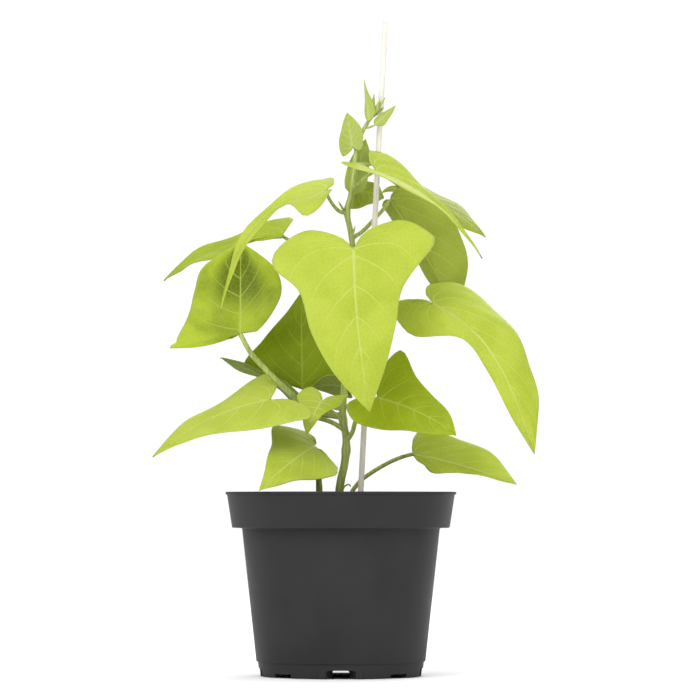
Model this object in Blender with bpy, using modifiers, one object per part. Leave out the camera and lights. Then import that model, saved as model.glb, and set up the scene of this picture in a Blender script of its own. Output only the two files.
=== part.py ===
"""Potted sweet potato vine: a black nursery pot, soil, a bamboo stake and a young lime-leaved vine.

Metres, +Z up. The origin is on the pot's axis, on the surface that the pot stands on.
The plant is seen from the front along +Y, with +X to the right.
"""

import math
from dataclasses import dataclass

import bmesh
import bpy
from mathutils import Vector

MM = 0.001
GAP = 0.0003

# Pot: a thin moulded shell with a tall rim band, a ledge below it and a foot ring with drain notches.
POT_HEIGHT = 0.1035
RIM_RADIUS = 0.0652
LIP_HEIGHT = 0.0014
BAND_TOP_RADIUS = 0.0642
BAND_BOTTOM_RADIUS = 0.0614
BAND_BOTTOM_Z = 0.0832
BODY_TOP_RADIUS = 0.0558
STEP_Z = 0.0085
STEP_RADIUS = 0.0477
STEP_DEPTH = 0.0009
FOOT_RADIUS = 0.0456
WALL = 0.0012
FLOOR_Z = 0.0050
NOTCH_WIDTH = 0.0215
NOTCH_HEIGHT = 0.0046
SMALL_NOTCH_WIDTH = 0.0128
SMALL_NOTCH_HEIGHT = 0.0022
CHANNEL_WIDTH = 0.0090
CHANNEL_LENGTH = 0.0080
POT_STEPS = 48

# Soil: fills the pot to a little below the rim, with a crumbly top.
SOIL_TOP_Z = 0.0905
SOIL_BUMP = 0.0012
SOIL_STEPS = 28
ROOT_DEPTH = 0.022

# Stake: a split bamboo stick, pushed in beside the stem and leaning a little to the right.
STAKE_RADIUS = 0.0017
STAKE_FOOT = Vector((0.0068, 0.005, 0.020))
STAKE_TOP = Vector((0.0252, 0.005, 0.3710))

# Blades: every blade is one arched, folded sheet.
BLADE = 0.0007
RAYS = 10
RINGS = 3
# Share of the rays that fan out from the stalk; the others leave the midrib one after another.
FAN = 0.35


@dataclass(frozen=True)
class Side:
    """One half of a blade laid flat, in millimetres.

    reach: how far the lobe runs back behind the leaf stalk's end, at the width lobe.
    widths: half-widths beside the stalk's end and at 1/4, 1/2 and 3/4 of the length.
    corner: how far along the blade the first of those widths lies.
    fold, curl: degrees that the half is raised at the midrib, and more at its margin.
    """

    reach: float
    lobe: float
    widths: tuple
    corner: float = 0.0
    fold: float = 0.0
    curl: float = 0.0


@dataclass(frozen=True)
class Leaf:
    """A blade from the end of its stalk to its tip, in millimetres.

    face: the way the upper side looks. right, left: the halves with the tip up.
    arch, sweep: how far the midrib bows out of its chord to the upper side and to the right.
    """

    name: str
    base: tuple
    tip: tuple
    face: tuple
    right: Side
    left: Side
    arch: float = 0.0
    sweep: float = 0.0
    skew: float = 0.0
    tone: str = "lime"


LEAVES = (
    Leaf("leaf_front_heart", (7, -38, 238), (16, -55, 147), (0.0, -1.0, 0.25),
         Side(12, 26, (45, 31, 26, 16), 9, 4, -12), Side(18, 27, (45, 27, 21, 12.5), -3, 4, -12), 5, 2),
    Leaf("leaf_right_drooping", (52, -15, 209), (107, -45, 124), (0.45, -0.85, 0.35),
         Side(20, 10, (21, 8, 7, 6), 3, -30, -10), Side(12, 14, (25, 24.5, 21, 13.5), -2, 6, -20),
         12, -5, 0.3),
    Leaf("leaf_upper_right", (20, -14, 284), (79, -22, 234), (0.6, 0.0, 0.8),
         Side(18, 12, (20, 14, 9, 3), 0, -12, -5), Side(9, 19, (21, 10, 4, 2), 0, 38, 0), 7),
    Leaf("leaf_right_back", (34, 40, 279), (83, 37, 250), (0.5, -0.5, 0.8),
         Side(8, 10, (6, 6, 8, 8), 0, 0, -20), Side(10, 12, (20, 21, 18, 11), 0, 0, -20), 4, tone="shade"),
    Leaf("leaf_right_shaded", (28, 16, 270), (66, 16, 205), (0.3, -0.95, 0.2),
         Side(2, 3, (7, 8, 8, 6), 0, -60, 0), Side(4, 10, (20, 28, 27, 19), 0, 0, -15), 4, tone="shade"),
    Leaf("leaf_behind_stem", (8, 15, 275), (24.5, 16, 271), (0.0, -0.9, 0.4),
         Side(3, 8, (12, 11, 8, 5)), Side(4, 5, (7, 7, 7, 6)), 2, tone="shade"),
    Leaf("leaf_upper_left", (-9, -12, 273), (-67, -34, 203), (-0.72, -0.3, 0.6),
         Side(9, 16, (16, 6, 5, 1.5), 0, 32, -10), Side(2, 4, (22, 3, 6, 3), 22, -10, -30), 17, 0, 0.15),
    Leaf("leaf_left_cupped", (-57, -5, 193), (-57, 9, 246), (0.0, -0.9, 0.1),
         Side(1, 6, (10, 21, 24, 19), 0, 10, 10), Side(11, 39, (35, 29, 26, 21), -3), -6, 0, 0.1),
    Leaf("leaf_far_left", (-34, 24, 250), (-102, 40, 225), (-0.33, 0.0, 0.94),
         Side(3, 20, (24, 14, 9, 11), 0, 32, -10), Side(2, 5, (6, 6, 18, 12), 0, -10, -10), 6),
    Leaf("leaf_lower_left", (-40, -16.5, 155), (-106, -1.5, 123), (0.1, -0.5, 0.85),
         Side(4, 18, (32, 21, 11, 12), 2, 0, -5), Side(24, 24, (28, 23, 17, 7.5), 0, 0, -5), 5, 1.5),
    Leaf("leaf_inner_dark", (-22, 22, 162), (-23, 36, 218), (0.0, -0.9, -0.3),
         Side(0, 6, (12, 24, 18, 9)), Side(-4, 10, (18, 33, 22, 10), 8), 4, tone="dark"),
    Leaf("leaf_edge_on", (-24, 13, 154), (-69, 22, 180), (0.35, 0.42, 0.5),
         Side(3, 4, (5, 3, 3, 6)), Side(3, 4, (8, 7, 3, 3)), 4, tone="dark"),
    Leaf("leaf_small_centre", (-11, -14, 154), (-19, -24, 135), (-0.1, -0.7, 0.7),
         Side(10, 10, (15, 10, 7, 4)), Side(10, 12, (11, 7, 4, 2)), 2),
    Leaf("leaf_small_behind", (2, 10.4, 163), (-17, 16, 163), (0.0, 0.7, 0.6),
         Side(4, 6, (8, 8, 7, 4)), Side(4, 6, (8, 8, 7, 4)), 2, tone="shade"),
    Leaf("leaf_over_rim", (-15, -12, 129), (-45, -57, 103.8), (-0.1, -0.8, 0.6),
         Side(14, 15, (28, 19, 13, 6)), Side(0, 6, (21, 23, 15, 7), 8, -12), 2),
    Leaf("leaf_lower_right", (20.5, -20, 156), (64, -40, 134.5), (0.1, -0.9, 0.4),
         Side(15, 9, (20, 18, 14, 9)), Side(4, 21, (33, 21, 13, 9), 3), 0, -3),
    Leaf("leaf_lowest_right", (41, 5, 125), (99, -5, 107.5), (0.0, -0.7, 0.7),
         Side(-2, 3, (5, 9, 4, 2), 7, -20), Side(3, 13, (21, 20, 19, 13)), 1, -1),
    Leaf("shoot_leaf_left", (6.5, -3, 299), (3.5, -3, 318), (-0.2, -0.95, 0.1),
         Side(-1, 2, (3, 3, 4, 3), 2), Side(5, 6, (7.5, 7, 5, 3)), tone="pale"),
    Leaf("shoot_leaf_back", (6, 4.5, 272), (14, 6, 304), (0.1, -0.95, 0.1),
         Side(-2, 3, (6, 7, 6, 5), 4), Side(-2, 2, (5, 6, 6, 4), 4), tone="pale"),
    Leaf("shoot_leaf_tip", (16, -4.2, 313), (13, -3.4, 337), (0.1, -0.95, 0.1),
         Side(-1, 1, (3, 4, 3, 1), 3), Side(-1, 1, (2, 2, 1, 0.5), 3), tone="pale"),
    Leaf("shoot_leaf_side", (19, -2.8, 311), (31, -4.6, 322), (0.1, -0.95, 0.15),
         Side(-1, 1.6, (3, 4, 3, 2), 3), Side(-1, 1.6, (2.5, 2.5, 2, 1), 3), tone="pale"),
)

# Stems and leaf stalks: points in millimetres from the root outwards, with the radius at both ends.
MAIN_STEM = ((-1, 0, 70), (-1, 0, 100), (0, 0, 110), (1.8, 0, 118), (2.9, 0, 127), (2.8, 0, 135),
             (1.2, 0, 144), (1.2, 0, 152), (3, 0, 175), (6, 0, 205), (7, 0, 232), (6.6, 0, 243),
             (5.2, 0, 252), (3.4, 0, 262), (5.4, 0, 271), (7, 0, 280), (8, 0, 292), (9.6, 0, 301),
             (12.5, 0, 308), (16, 0, 314), (19.5, 0, 318))
STALKS = (
    ("front_heart", ((6.8, 0, 236), (7.4, -16, 236), (7.2, -30, 238.5), (7, -36.9, 239)), 1.5, 1.2),
    ("right_drooping", ((5, 0, 194), (22, -3, 200), (42, -9, 206.5), (50.9, -12.9, 207.8)), 1.5, 1.1),
    ("upper_right", ((6.8, 0, 275), (10.5, -4, 278), (15, -9, 281.5), (18.2, -12.8, 282.6)), 1.1, 0.8),
    ("right_back", ((7.8, 0, 289), (16, 0.5, 289), (24.5, 2.2, 288.6), (29, 16, 285.5), (33, 38.6, 280.4)),
     1.0, 0.8),
    ("right_shaded", ((6.2, 0, 247), (12, 5, 251), (18, 10, 257.5), (23.5, 12.4, 263.5), (27.5, 13.7, 269.3)),
     1.3, 1.0),
    ("behind_stem", ((4.6, 0, 268), (6, 6, 269.5), (7.4, 11, 272.8), (8, 13.2, 275.1)), 1.0, 0.8),
    ("upper_left", ((3.6, 0, 261), (-1, -4, 262), (-5, -8, 266), (-8, -11.2, 270.8)), 1.2, 0.9),
    ("left_cupped", ((1.6, 0, 146), (-12, -0.6, 148), (-24, -2.6, 155.5), (-35, -5.4, 165), (-44, -6.8, 174),
                     (-51, -6.8, 182), (-56.6, -6.6, 191.6)), 1.8, 1.4),
    ("far_left", ((6, 0, 222), (-6, 6, 230), (-20, 16, 241), (-32, 23.4, 249)), 1.3, 1.0),
    ("lower_left", ((2.6, 0, 138), (-6, -3, 143), (-20, -6, 147), (-32, -10.5, 151), (-39, -14.9, 153.6)),
     1.4, 1.1),
    ("inner_dark", ((1.2, 0, 150), (-6, 9, 152), (-15, 18.6, 157), (-21.6, 23.9, 160.2)), 1.3, 1.0),
    ("edge_on", ((1.4, 0, 147), (-8, 6, 148), (-18, 10.6, 150.5), (-23, 11.9, 152.4)), 1.2, 1.0),
    ("small_centre", ((1.6, 0, 143), (-4, -6, 148), (-9, -11.5, 151), (-10.6, -12.7, 152.8)), 1.1, 0.8),
    ("small_behind", ((1.6, 0, 158), (1.8, 4.4, 159.6), (1.8, 8.2, 160.8)), 1.0, 0.8),
    ("shoot_left", ((8.6, 0, 297), (7.7, -0.8, 297.6), (7.0, -1.5, 298)), 0.7, 0.5),
    ("shoot_back", ((5.2, 0, 269.6), (5.6, 1.6, 270.6), (5.9, 2.9, 271.2)), 0.7, 0.5),
    ("shoot_tip", ((14.8, 0, 311.8), (15.6, -1.5, 312.2), (16, -2.8, 312.6)), 0.7, 0.5),
    ("shoot_side", ((13.4, 0, 309.6), (16.2, -0.9, 309.8), (18.2, -1.5, 310.2)), 0.7, 0.5),
    ("lower_right", ((2.9, 0, 132), (6.4, -3, 137), (8.6, -7, 144), (13.5, -13, 151), (19.5, -18.2, 155)),
     1.4, 1.1),
)
LOW_SHOOT = ((-11, -4, 70), (-12, -6, 98), (-12.4, -8, 110), (-13.4, -10, 120), (-14.8, -10.6, 127.6))
LOW_STALK = ((4, 9, 70), (5, 9, 98), (9, 9.5, 107.5), (16, 9.5, 113.5), (26, 8, 119.5), (34, 6.6, 123),
             (40, 5.6, 124.6))
TENDRIL = ((-0.6, 0, 99), (0.6, -3.6, 103), (2, -4.4, 106.4), (4.4, -4.4, 107.6), (5.6, -4.2, 106.4))
# Side buds in the forks of the stem and the cluster of unopened buds at the shoot's end: foot, point, radius.
BUDS = (
    ((6.6, -0.8, 275.0), (9.4, -2.6, 280.6), 0.9),
    ((6.8, -0.4, 276.0), (8.4, -2.4, 281.6), 0.8),
    ((2.0, -0.8, 262.0), (-1.6, -2.2, 268.0), 0.8),
    ((6.0, -0.8, 247.0), (8.2, -2.4, 254.0), 0.9),
    ((17.6, -0.6, 316.0), (18.8, -1.6, 329.0), 1.5),
    ((18.4, -0.4, 317.0), (22.2, -2.0, 325.5), 1.4),
    ((18.6, -0.2, 317.0), (25.2, -1.0, 327.0), 1.3),
    ((18.4, 0.2, 316.4), (24.6, 1.4, 321.6), 1.2),
)

COLOURS = {
    "lime": (0.42, 0.56, 0.05), "shade": (0.27, 0.36, 0.06), "dark": (0.11, 0.19, 0.005),
    "pale": (0.38, 0.52, 0.10),
    "stem": (0.22, 0.32, 0.07), "pot": (0.012, 0.012, 0.012), "soil": (0.035, 0.022, 0.014),
    "stake": (0.62, 0.54, 0.44),
}
ROUGHNESS = {"pot": 0.55, "soil": 0.95, "stake": 0.75}


def material(name):
    """A Principled material of a named colour, made once."""
    found = bpy.data.materials.get(name)
    if found:
        return found
    made = bpy.data.materials.new(name)
    made.use_nodes = True
    shader = made.node_tree.nodes["Principled BSDF"]
    shader.inputs["Base Color"].default_value = (*COLOURS[name], 1.0)
    shader.inputs["Roughness"].default_value = ROUGHNESS.get(name, 0.5)
    shader.inputs["Metallic"].default_value = 0.0
    return made


def add_object(name, mesh, collection, colour=None):
    """A mesh as an object in a collection, with its material."""
    item = bpy.data.objects.new(name, mesh)
    collection.objects.link(item)
    if colour:
        mesh.materials.append(material(colour))
    return item


def mesh_from(name, shape):
    """A mesh from a bmesh, which is freed."""
    mesh = bpy.data.meshes.new(name)
    shape.to_mesh(mesh)
    shape.free()
    return mesh


def profile_object(name, points, steps, collection, colour):
    """A turned piece: a profile of (radius, height) points with a Screw modifier."""
    mesh = bpy.data.meshes.new(name)
    edges = [(i, i + 1) for i in range(len(points) - 1)]
    mesh.from_pydata([(r, 0.0, z) for r, z in points], edges, [])
    item = add_object(name, mesh, collection, colour)
    screw = item.modifiers.new("turn", "SCREW")
    screw.steps = screw.render_steps = steps
    screw.use_merge_vertices = True
    screw.merge_threshold = 0.00005
    screw.use_smooth_shade = True
    return item


def cutter(name, mesh, collection):
    """A hidden object that only cuts."""
    item = add_object(name, mesh, collection)
    item.hide_render = True
    item.display_type = "WIRE"
    return item


def boolean(item, other, operation):
    """A Boolean modifier with one object, or with all the objects of a collection."""
    cut = item.modifiers.new(operation.lower(), "BOOLEAN")
    cut.operation = operation
    if isinstance(other, bpy.types.Collection):
        cut.operand_type = "COLLECTION"
        cut.collection = other
    else:
        cut.object = other
    return cut


def evaluated(item, name):
    """A new mesh of an object with its modifiers applied."""
    graph = bpy.context.evaluated_depsgraph_get()
    return bpy.data.meshes.new_from_object(item.evaluated_get(graph), depsgraph=graph)


def wedge(near, far, height, length):
    """A block along -Y from 0 to length, as wide as near at its inner end and far at its outer end."""
    shape = bmesh.new()
    bmesh.ops.create_cube(shape, size=1.0)
    for vert in shape.verts:
        outer = vert.co.y < 0.0
        vert.co.x *= far if outer else near
        vert.co.y = -length if outer else 0.0
        vert.co.z = height if vert.co.z > 0.0 else -0.001
    return shape


def build_pot(collection, cutters):
    """The pot, with a drain channel at each large notch and a plain small notch between them."""
    inner_step = STEP_RADIUS - WALL
    outline = [
        (0.0, FLOOR_Z + WALL), (STEP_RADIUS - STEP_DEPTH - 2.0 * WALL, FLOOR_Z + WALL),
        (inner_step - 0.0005, STEP_Z), (BODY_TOP_RADIUS - WALL, BAND_BOTTOM_Z + WALL * 0.5),
        (BODY_TOP_RADIUS - 0.4 * WALL, BAND_BOTTOM_Z + WALL),
        (BAND_BOTTOM_RADIUS - WALL, BAND_BOTTOM_Z + WALL),
        (BAND_TOP_RADIUS - WALL, POT_HEIGHT - 0.0004), (BAND_TOP_RADIUS - WALL + 0.0004, POT_HEIGHT),
        (RIM_RADIUS - 0.0004, POT_HEIGHT), (RIM_RADIUS, POT_HEIGHT - 0.0004),
        (RIM_RADIUS - 0.0001, POT_HEIGHT - LIP_HEIGHT), (BAND_TOP_RADIUS, POT_HEIGHT - LIP_HEIGHT - 0.0006),
        (BAND_BOTTOM_RADIUS + 0.0001, BAND_BOTTOM_Z + 0.0006), (BAND_BOTTOM_RADIUS - 0.0004, BAND_BOTTOM_Z),
        (BODY_TOP_RADIUS, BAND_BOTTOM_Z - 0.0002), (STEP_RADIUS, STEP_Z),
        (STEP_RADIUS - STEP_DEPTH, STEP_Z - 0.0006),
        (FOOT_RADIUS + 0.0003, 0.0006), (FOOT_RADIUS - 0.0003, 0.0), (FOOT_RADIUS - WALL, 0.0),
        (FOOT_RADIUS - WALL, FLOOR_Z), (0.0, FLOOR_Z),
    ]
    shell = profile_object("pot", outline, POT_STEPS, collection, "pot")
    ribs = bpy.data.collections.new("pot_ribs")
    notches = bpy.data.collections.new("pot_notches")
    for group in (ribs, notches):
        cutters.children.link(group)
    inside = FOOT_RADIUS - 0.5 * WALL - CHANNEL_LENGTH
    for index in range(8):
        turn = index * math.pi / 4.0
        large = index % 2 == 0
        if large:
            wide, narrow = CHANNEL_WIDTH + 4.0 * WALL, NOTCH_WIDTH + 2.0 * WALL
            block = wedge(wide, narrow, FLOOR_Z + 0.5 * WALL, CHANNEL_LENGTH)
            for vert in block.verts:
                vert.co.z = max(vert.co.z, 0.0002)
            rib = cutter(f"rib_{index}", mesh_from("rib", block), ribs)
            rib.location = (inside * math.sin(turn), -inside * math.cos(turn), 0.0)
            rib.rotation_euler.z = turn
            cut = wedge(CHANNEL_WIDTH, NOTCH_WIDTH, NOTCH_HEIGHT, CHANNEL_LENGTH + 0.006)
            start = inside - 0.0005
        else:
            cut = wedge(SMALL_NOTCH_WIDTH, SMALL_NOTCH_WIDTH, SMALL_NOTCH_HEIGHT, 0.010)
            start = FOOT_RADIUS - 0.005
        notch = cutter(f"notch_{index}", mesh_from("notch", cut), notches)
        notch.location = (start * math.sin(turn), -start * math.cos(turn), 0.0)
        notch.rotation_euler.z = turn
    boolean(shell, ribs, "UNION")
    boolean(shell, notches, "DIFFERENCE")
    return shell


def build_soil(collection, cutters):
    """The soil body, with a crumbly top and a plain hole for each stem and for the stake."""
    clear = WALL + GAP
    rings = 6
    top_radius = BAND_BOTTOM_RADIUS - clear + 0.0008
    outline = [(top_radius * i / rings, SOIL_TOP_Z) for i in range(rings + 1)]
    outline += [
        (BAND_BOTTOM_RADIUS - clear, BAND_BOTTOM_Z + clear),
        (BODY_TOP_RADIUS - clear - 0.0002, BAND_BOTTOM_Z + clear),
        (BODY_TOP_RADIUS - clear - 0.0002, BAND_BOTTOM_Z), (STEP_RADIUS - clear - 0.0006, STEP_Z + 0.0005),
        (STEP_RADIUS - STEP_DEPTH - 2.0 * WALL - 0.001, FLOOR_Z + clear), (0.0, FLOOR_Z + clear),
    ]
    shape = bmesh.new()
    verts = [shape.verts.new((r, 0.0, z)) for r, z in outline]
    edges = [shape.edges.new(pair) for pair in zip(verts[:-1], verts[1:])]
    bmesh.ops.spin(shape, geom=verts + edges, cent=(0, 0, 0), axis=(0, 0, 1), angle=2.0 * math.pi,
                   steps=SOIL_STEPS)
    bmesh.ops.remove_doubles(shape, verts=shape.verts, dist=0.00005)
    for vert in shape.verts:
        x, y = vert.co.x / MM, vert.co.y / MM
        if vert.co.z > SOIL_TOP_Z - 0.0001:
            bump = math.sin(0.31 * x + 1.3) * math.cos(0.27 * y - 0.4) + 0.6 * math.sin(0.71 * x - 0.53 * y)
            edge = min(1.0, (top_radius - math.hypot(vert.co.x, vert.co.y)) / 0.012)
            vert.co.z += SOIL_BUMP * bump * edge
    bmesh.ops.recalc_face_normals(shape, faces=shape.faces)
    soil = add_object("soil", mesh_from("soil", shape), collection, "soil")
    holes = bpy.data.collections.new("soil_holes")
    cutters.children.link(holes)
    stems = (("main", MAIN_STEM, 2.4), ("low_shoot", LOW_SHOOT, 2.2), ("low_stalk", LOW_STALK, 1.2))
    for name, route, radius in stems:
        foot, rise = Vector(route[0]) * MM, Vector(route[1]) * MM
        add_hole(name, foot, rise, radius * MM, holes)
    add_hole("stake", STAKE_FOOT, STAKE_TOP, STAKE_RADIUS, holes)
    boolean(soil, holes, "DIFFERENCE")
    return soil


def add_hole(name, foot, rise, radius, collection):
    """A plain round hole from just under a foot to above the soil, with clearance round it."""
    way = (rise - foot).normalized()
    start = foot - way * 2.0 * GAP
    end = foot + way * ((SOIL_TOP_Z + 0.006 - foot.z) / way.z)
    shape = bmesh.new()
    wide = radius + 2.0 * GAP
    bmesh.ops.create_cone(shape, cap_ends=True, segments=16, radius1=wide, radius2=wide, depth=(end - start).length)
    item = cutter(f"hole_{name}", mesh_from("hole", shape), collection)
    item.location = (start + end) / 2.0
    item.rotation_mode = "QUATERNION"
    item.rotation_quaternion = Vector((0, 0, 1)).rotation_difference(way)


def build_stake(collection):
    """The stake: a straight round stick with softly worn ends."""
    way = STAKE_TOP - STAKE_FOOT
    shape = bmesh.new()
    bmesh.ops.create_cone(shape, cap_ends=True, segments=12, radius1=STAKE_RADIUS,
                          radius2=STAKE_RADIUS * 0.94, depth=way.length)
    item = add_object("stake", mesh_from("stake", shape), collection, "stake")
    item.location = (STAKE_FOOT + STAKE_TOP) / 2.0
    item.rotation_mode = "QUATERNION"
    item.rotation_quaternion = Vector((0, 0, 1)).rotation_difference(way)
    return item


def smooth_route(points, per_span):
    """Points of a Catmull-Rom curve through a route given in millimetres."""
    knots = [Vector(p) * MM for p in points]
    knots = [2.0 * knots[0] - knots[1], *knots, 2.0 * knots[-1] - knots[-2]]
    route = []
    for a, b, c, d in zip(knots, knots[1:], knots[2:], knots[3:]):
        for step in range(per_span):
            t = step / per_span
            route.append(0.5 * (2.0 * b + (c - a) * t + (2.0 * a - 5.0 * b + 4.0 * c - d) * t * t
                                + (3.0 * b - a - 3.0 * c + d) * t ** 3))
    return [*route, knots[-2]]


def tube(name, points, start, end, collection, colour=None, per_span=2, nodes=()):
    """A stem along a route, tapering from one radius in millimetres to another."""
    route = smooth_route(points, per_span)
    curve = bpy.data.curves.new(name, "CURVE")
    curve.dimensions = "3D"
    curve.bevel_depth = MM
    curve.bevel_resolution = 2
    curve.use_fill_caps = True
    spline = curve.splines.new("POLY")
    spline.points.add(len(route) - 1)
    for index, (knot, place) in enumerate(zip(spline.points, route)):
        knot.co = (*place, 1.0)
        swell = sum(math.exp(-(((place.z / MM) - z) / 3.0) ** 2) for z in nodes)
        knot.radius = start + (end - start) * index / (len(route) - 1) + 0.4 * min(swell, 1.0)
    drawn = bpy.data.objects.new(f"{name}_curve", curve)
    collection.objects.link(drawn)
    mesh = evaluated(drawn, name)
    bpy.data.objects.remove(drawn)
    shape = bmesh.new()
    shape.from_mesh(mesh)
    bmesh.ops.remove_doubles(shape, verts=shape.verts, dist=0.00001)
    shape.to_mesh(mesh)
    shape.free()
    return add_object(name, mesh, collection, colour)


def bud(index, foot, point, radius, collection):
    """A closed pointed bud."""
    a, b = Vector(foot) * MM, Vector(point) * MM
    shape = bmesh.new()
    bmesh.ops.create_cone(shape, cap_ends=True, segments=7, radius1=radius * MM, radius2=0.12 * MM,
                          depth=(b - a).length)
    item = add_object(f"bud_{index}", mesh_from("bud", shape), collection)
    item.location = (a + b) / 2.0
    item.rotation_mode = "QUATERNION"
    item.rotation_quaternion = Vector((0, 0, 1)).rotation_difference(b - a)
    return item


def keep_main_body(mesh):
    """Drops the slivers that a union leaves inside or beside the largest body of a mesh."""
    shape = bmesh.new()
    shape.from_mesh(mesh)
    unseen = set(shape.faces)
    bodies = []
    while unseen:
        body, border = set(), {unseen.pop()}
        while border:
            body |= border
            shared = [e for face in border for e in face.edges if len(e.link_faces) == 2]
            border = {face for e in shared for face in e.link_faces} - body
        unseen -= body
        bodies.append(body)
    bodies.sort(key=len, reverse=True)
    bmesh.ops.delete(shape, geom=[face for body in bodies[1:] for face in body], context="FACES")
    shape.to_mesh(mesh)
    shape.free()


def join(item, joined):
    """Fuses the objects of a collection into an object and removes them."""
    boolean(item, joined, "UNION")
    mesh = evaluated(item, item.name)
    keep_main_body(mesh)
    item.modifiers.clear()
    item.data = mesh
    for other in list(joined.objects):
        bpy.data.objects.remove(other)
    bpy.data.collections.remove(joined)


def build_stems(collection, cutters):
    """The vine's stem with every leaf stalk and bud, and the two low shoots that rise from the soil."""
    forks = [point[2] for point in (MAIN_STEM[4], MAIN_STEM[6], MAIN_STEM[13], MAIN_STEM[15])]
    stem = tube("vine_stem", MAIN_STEM, 2.5, 1.0, collection, "stem", 2, forks)
    joined = bpy.data.collections.new("stalks")
    cutters.children.link(joined)
    for name, route, start, end in STALKS:
        tube(f"stalk_{name}", route, start, end, joined)
    tube("tendril", TENDRIL, 0.6, 0.4, joined)
    for index, (foot, point, radius) in enumerate(BUDS):
        bud(index, foot, point, radius, joined)
    join(stem, joined)
    tube("low_shoot", LOW_SHOOT, 2.2, 1.3, collection, "stem")
    tube("low_stalk", LOW_STALK, 1.3, 1.1, collection, "stem")


def half_outline(side, length):
    """A half blade's margin laid flat, as evenly spaced (along, across) points from the stalk to the tip."""
    at_stalk, quarter, middle, late = side.widths
    shoulder = side.corner - (side.reach + side.corner) * 0.55
    knots = [(0.0, 0.0), (-side.reach * 0.62, side.lobe * 0.30), (-side.reach, side.lobe),
             (shoulder, side.lobe + (at_stalk - side.lobe) * 0.80), (side.corner, at_stalk),
             (0.25 * length, quarter), (0.5 * length, middle), (0.75 * length, late), (length, 0.0)]
    curve = [p / MM for p in smooth_route([(u, v, 0.0) for u, v in knots], 12)]
    gone = [0.0]
    for a, b in zip(curve, curve[1:]):
        gone.append(gone[-1] + (b - a).length)
    margin = []
    at = 0
    for ray in range(RAYS + 1):
        want = gone[-1] * ray / RAYS
        while at < len(curve) - 2 and gone[at + 1] < want:
            at += 1
        share = (want - gone[at]) / max(gone[at + 1] - gone[at], 1e-9)
        margin.append(curve[at].lerp(curve[at + 1], min(share, 1.0)))
    return margin


class Blade:
    """Maps a flat leaf, in millimetres along and across its midrib, onto its arched and folded place."""

    def __init__(self, leaf):
        self.leaf = leaf
        self.base = Vector(leaf.base)
        chord = Vector(leaf.tip) - self.base
        self.length = chord.length
        self.along = chord.normalized()
        face = Vector(leaf.face)
        self.up = (face - self.along * face.dot(self.along)).normalized()
        self.across = self.along.cross(self.up)
        self.step = 1e-3

    def midrib(self, q):
        """The point of the midrib at a share q of the length; it runs on straight behind the stalk's end."""
        if q < 0.0:
            return self.base + (self.midrib(self.step) - self.base) * (q / self.step)
        bow = 4.0 * q * (1.0 - q) * (1.0 + self.leaf.skew * (1.0 - 2.0 * q))
        return (self.base + self.along * self.length * q + self.up * self.leaf.arch * bow
                + self.across * self.leaf.sweep * bow)

    def place(self, u, v):
        """The place in space of a flat point; v is positive on the leaf's right."""
        q = min(u / self.length, 1.0)
        ahead, behind = min(q + self.step, 1.0), q - self.step
        if 0.0 <= q < self.step:
            behind = q
        way = (self.midrib(ahead) - self.midrib(behind)).normalized()
        up = (self.up - way * self.up.dot(way)).normalized()
        out = way.cross(up) * (1.0 if v >= 0.0 else -1.0)
        side = self.leaf.right if v >= 0.0 else self.leaf.left
        fold, reach = math.radians(side.fold), abs(v)
        bend = math.radians(side.curl) / max(side.widths[:3])
        if abs(bend) < 1e-6:
            run, rise = reach * math.cos(fold), reach * math.sin(fold)
        else:
            run = (math.sin(fold + bend * reach) - math.sin(fold)) / bend
            rise = (math.cos(fold) - math.cos(fold + bend * reach)) / bend
        return (self.midrib(q) + out * run + up * rise) * MM


def build_leaf(leaf, collection):
    """A blade: a grid whose rows run beside the midrib and whose columns fan out like the side veins."""
    blade = Blade(leaf)
    margins = {1.0: half_outline(leaf.right, blade.length), -1.0: half_outline(leaf.left, blade.length)}
    shape = bmesh.new()
    bmesh.ops.create_grid(shape, x_segments=2 * (RAYS - 1), y_segments=RINGS, size=1.0)
    for vert in shape.verts:
        hand = 1.0 if vert.co.x <= 0.0 else -1.0
        ray = 1 + round((RAYS - 1) * (1.0 - abs(vert.co.x)))
        share = 0.5 * (vert.co.y + 1.0)
        edge = margins[hand][ray]
        root = blade.length * max(0.0, ray / RAYS - FAN) / (1.0 - FAN)
        vert.co = blade.place(root + (edge.x - root) * share, hand * edge.y * share)
    bmesh.ops.remove_doubles(shape, verts=shape.verts, dist=0.00002)
    bmesh.ops.triangulate(shape, faces=shape.faces)
    item = add_object(leaf.name, mesh_from(leaf.name, shape), collection, leaf.tone)
    sheet = item.modifiers.new("thickness", "SOLIDIFY")
    sheet.thickness = BLADE
    sheet.offset = 0.0
    return item


def main():
    """Clears the scene and builds the plant in its pot."""
    for item in list(bpy.data.objects):
        bpy.data.objects.remove(item)
    vine = bpy.data.collections.new("potted_sweet_potato_vine")
    cutters = bpy.data.collections.new("cutters")
    for group in (vine, cutters):
        bpy.context.scene.collection.children.link(group)
    build_pot(vine, cutters)
    build_soil(vine, cutters)
    build_stake(vine)
    build_stems(vine, cutters)
    for leaf in LEAVES:
        build_leaf(leaf, vine)
    for item in vine.objects:
        if item.name in {"pot", "stake", "vine_stem", "low_shoot", "low_stalk"}:
            item.data.shade_smooth()
            item.data.set_sharp_from_angle(angle=math.radians(35.0))


main()
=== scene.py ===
import logging
import math
from dataclasses import dataclass, field
from enum import Enum

import bpy
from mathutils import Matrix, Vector, noise


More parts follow.
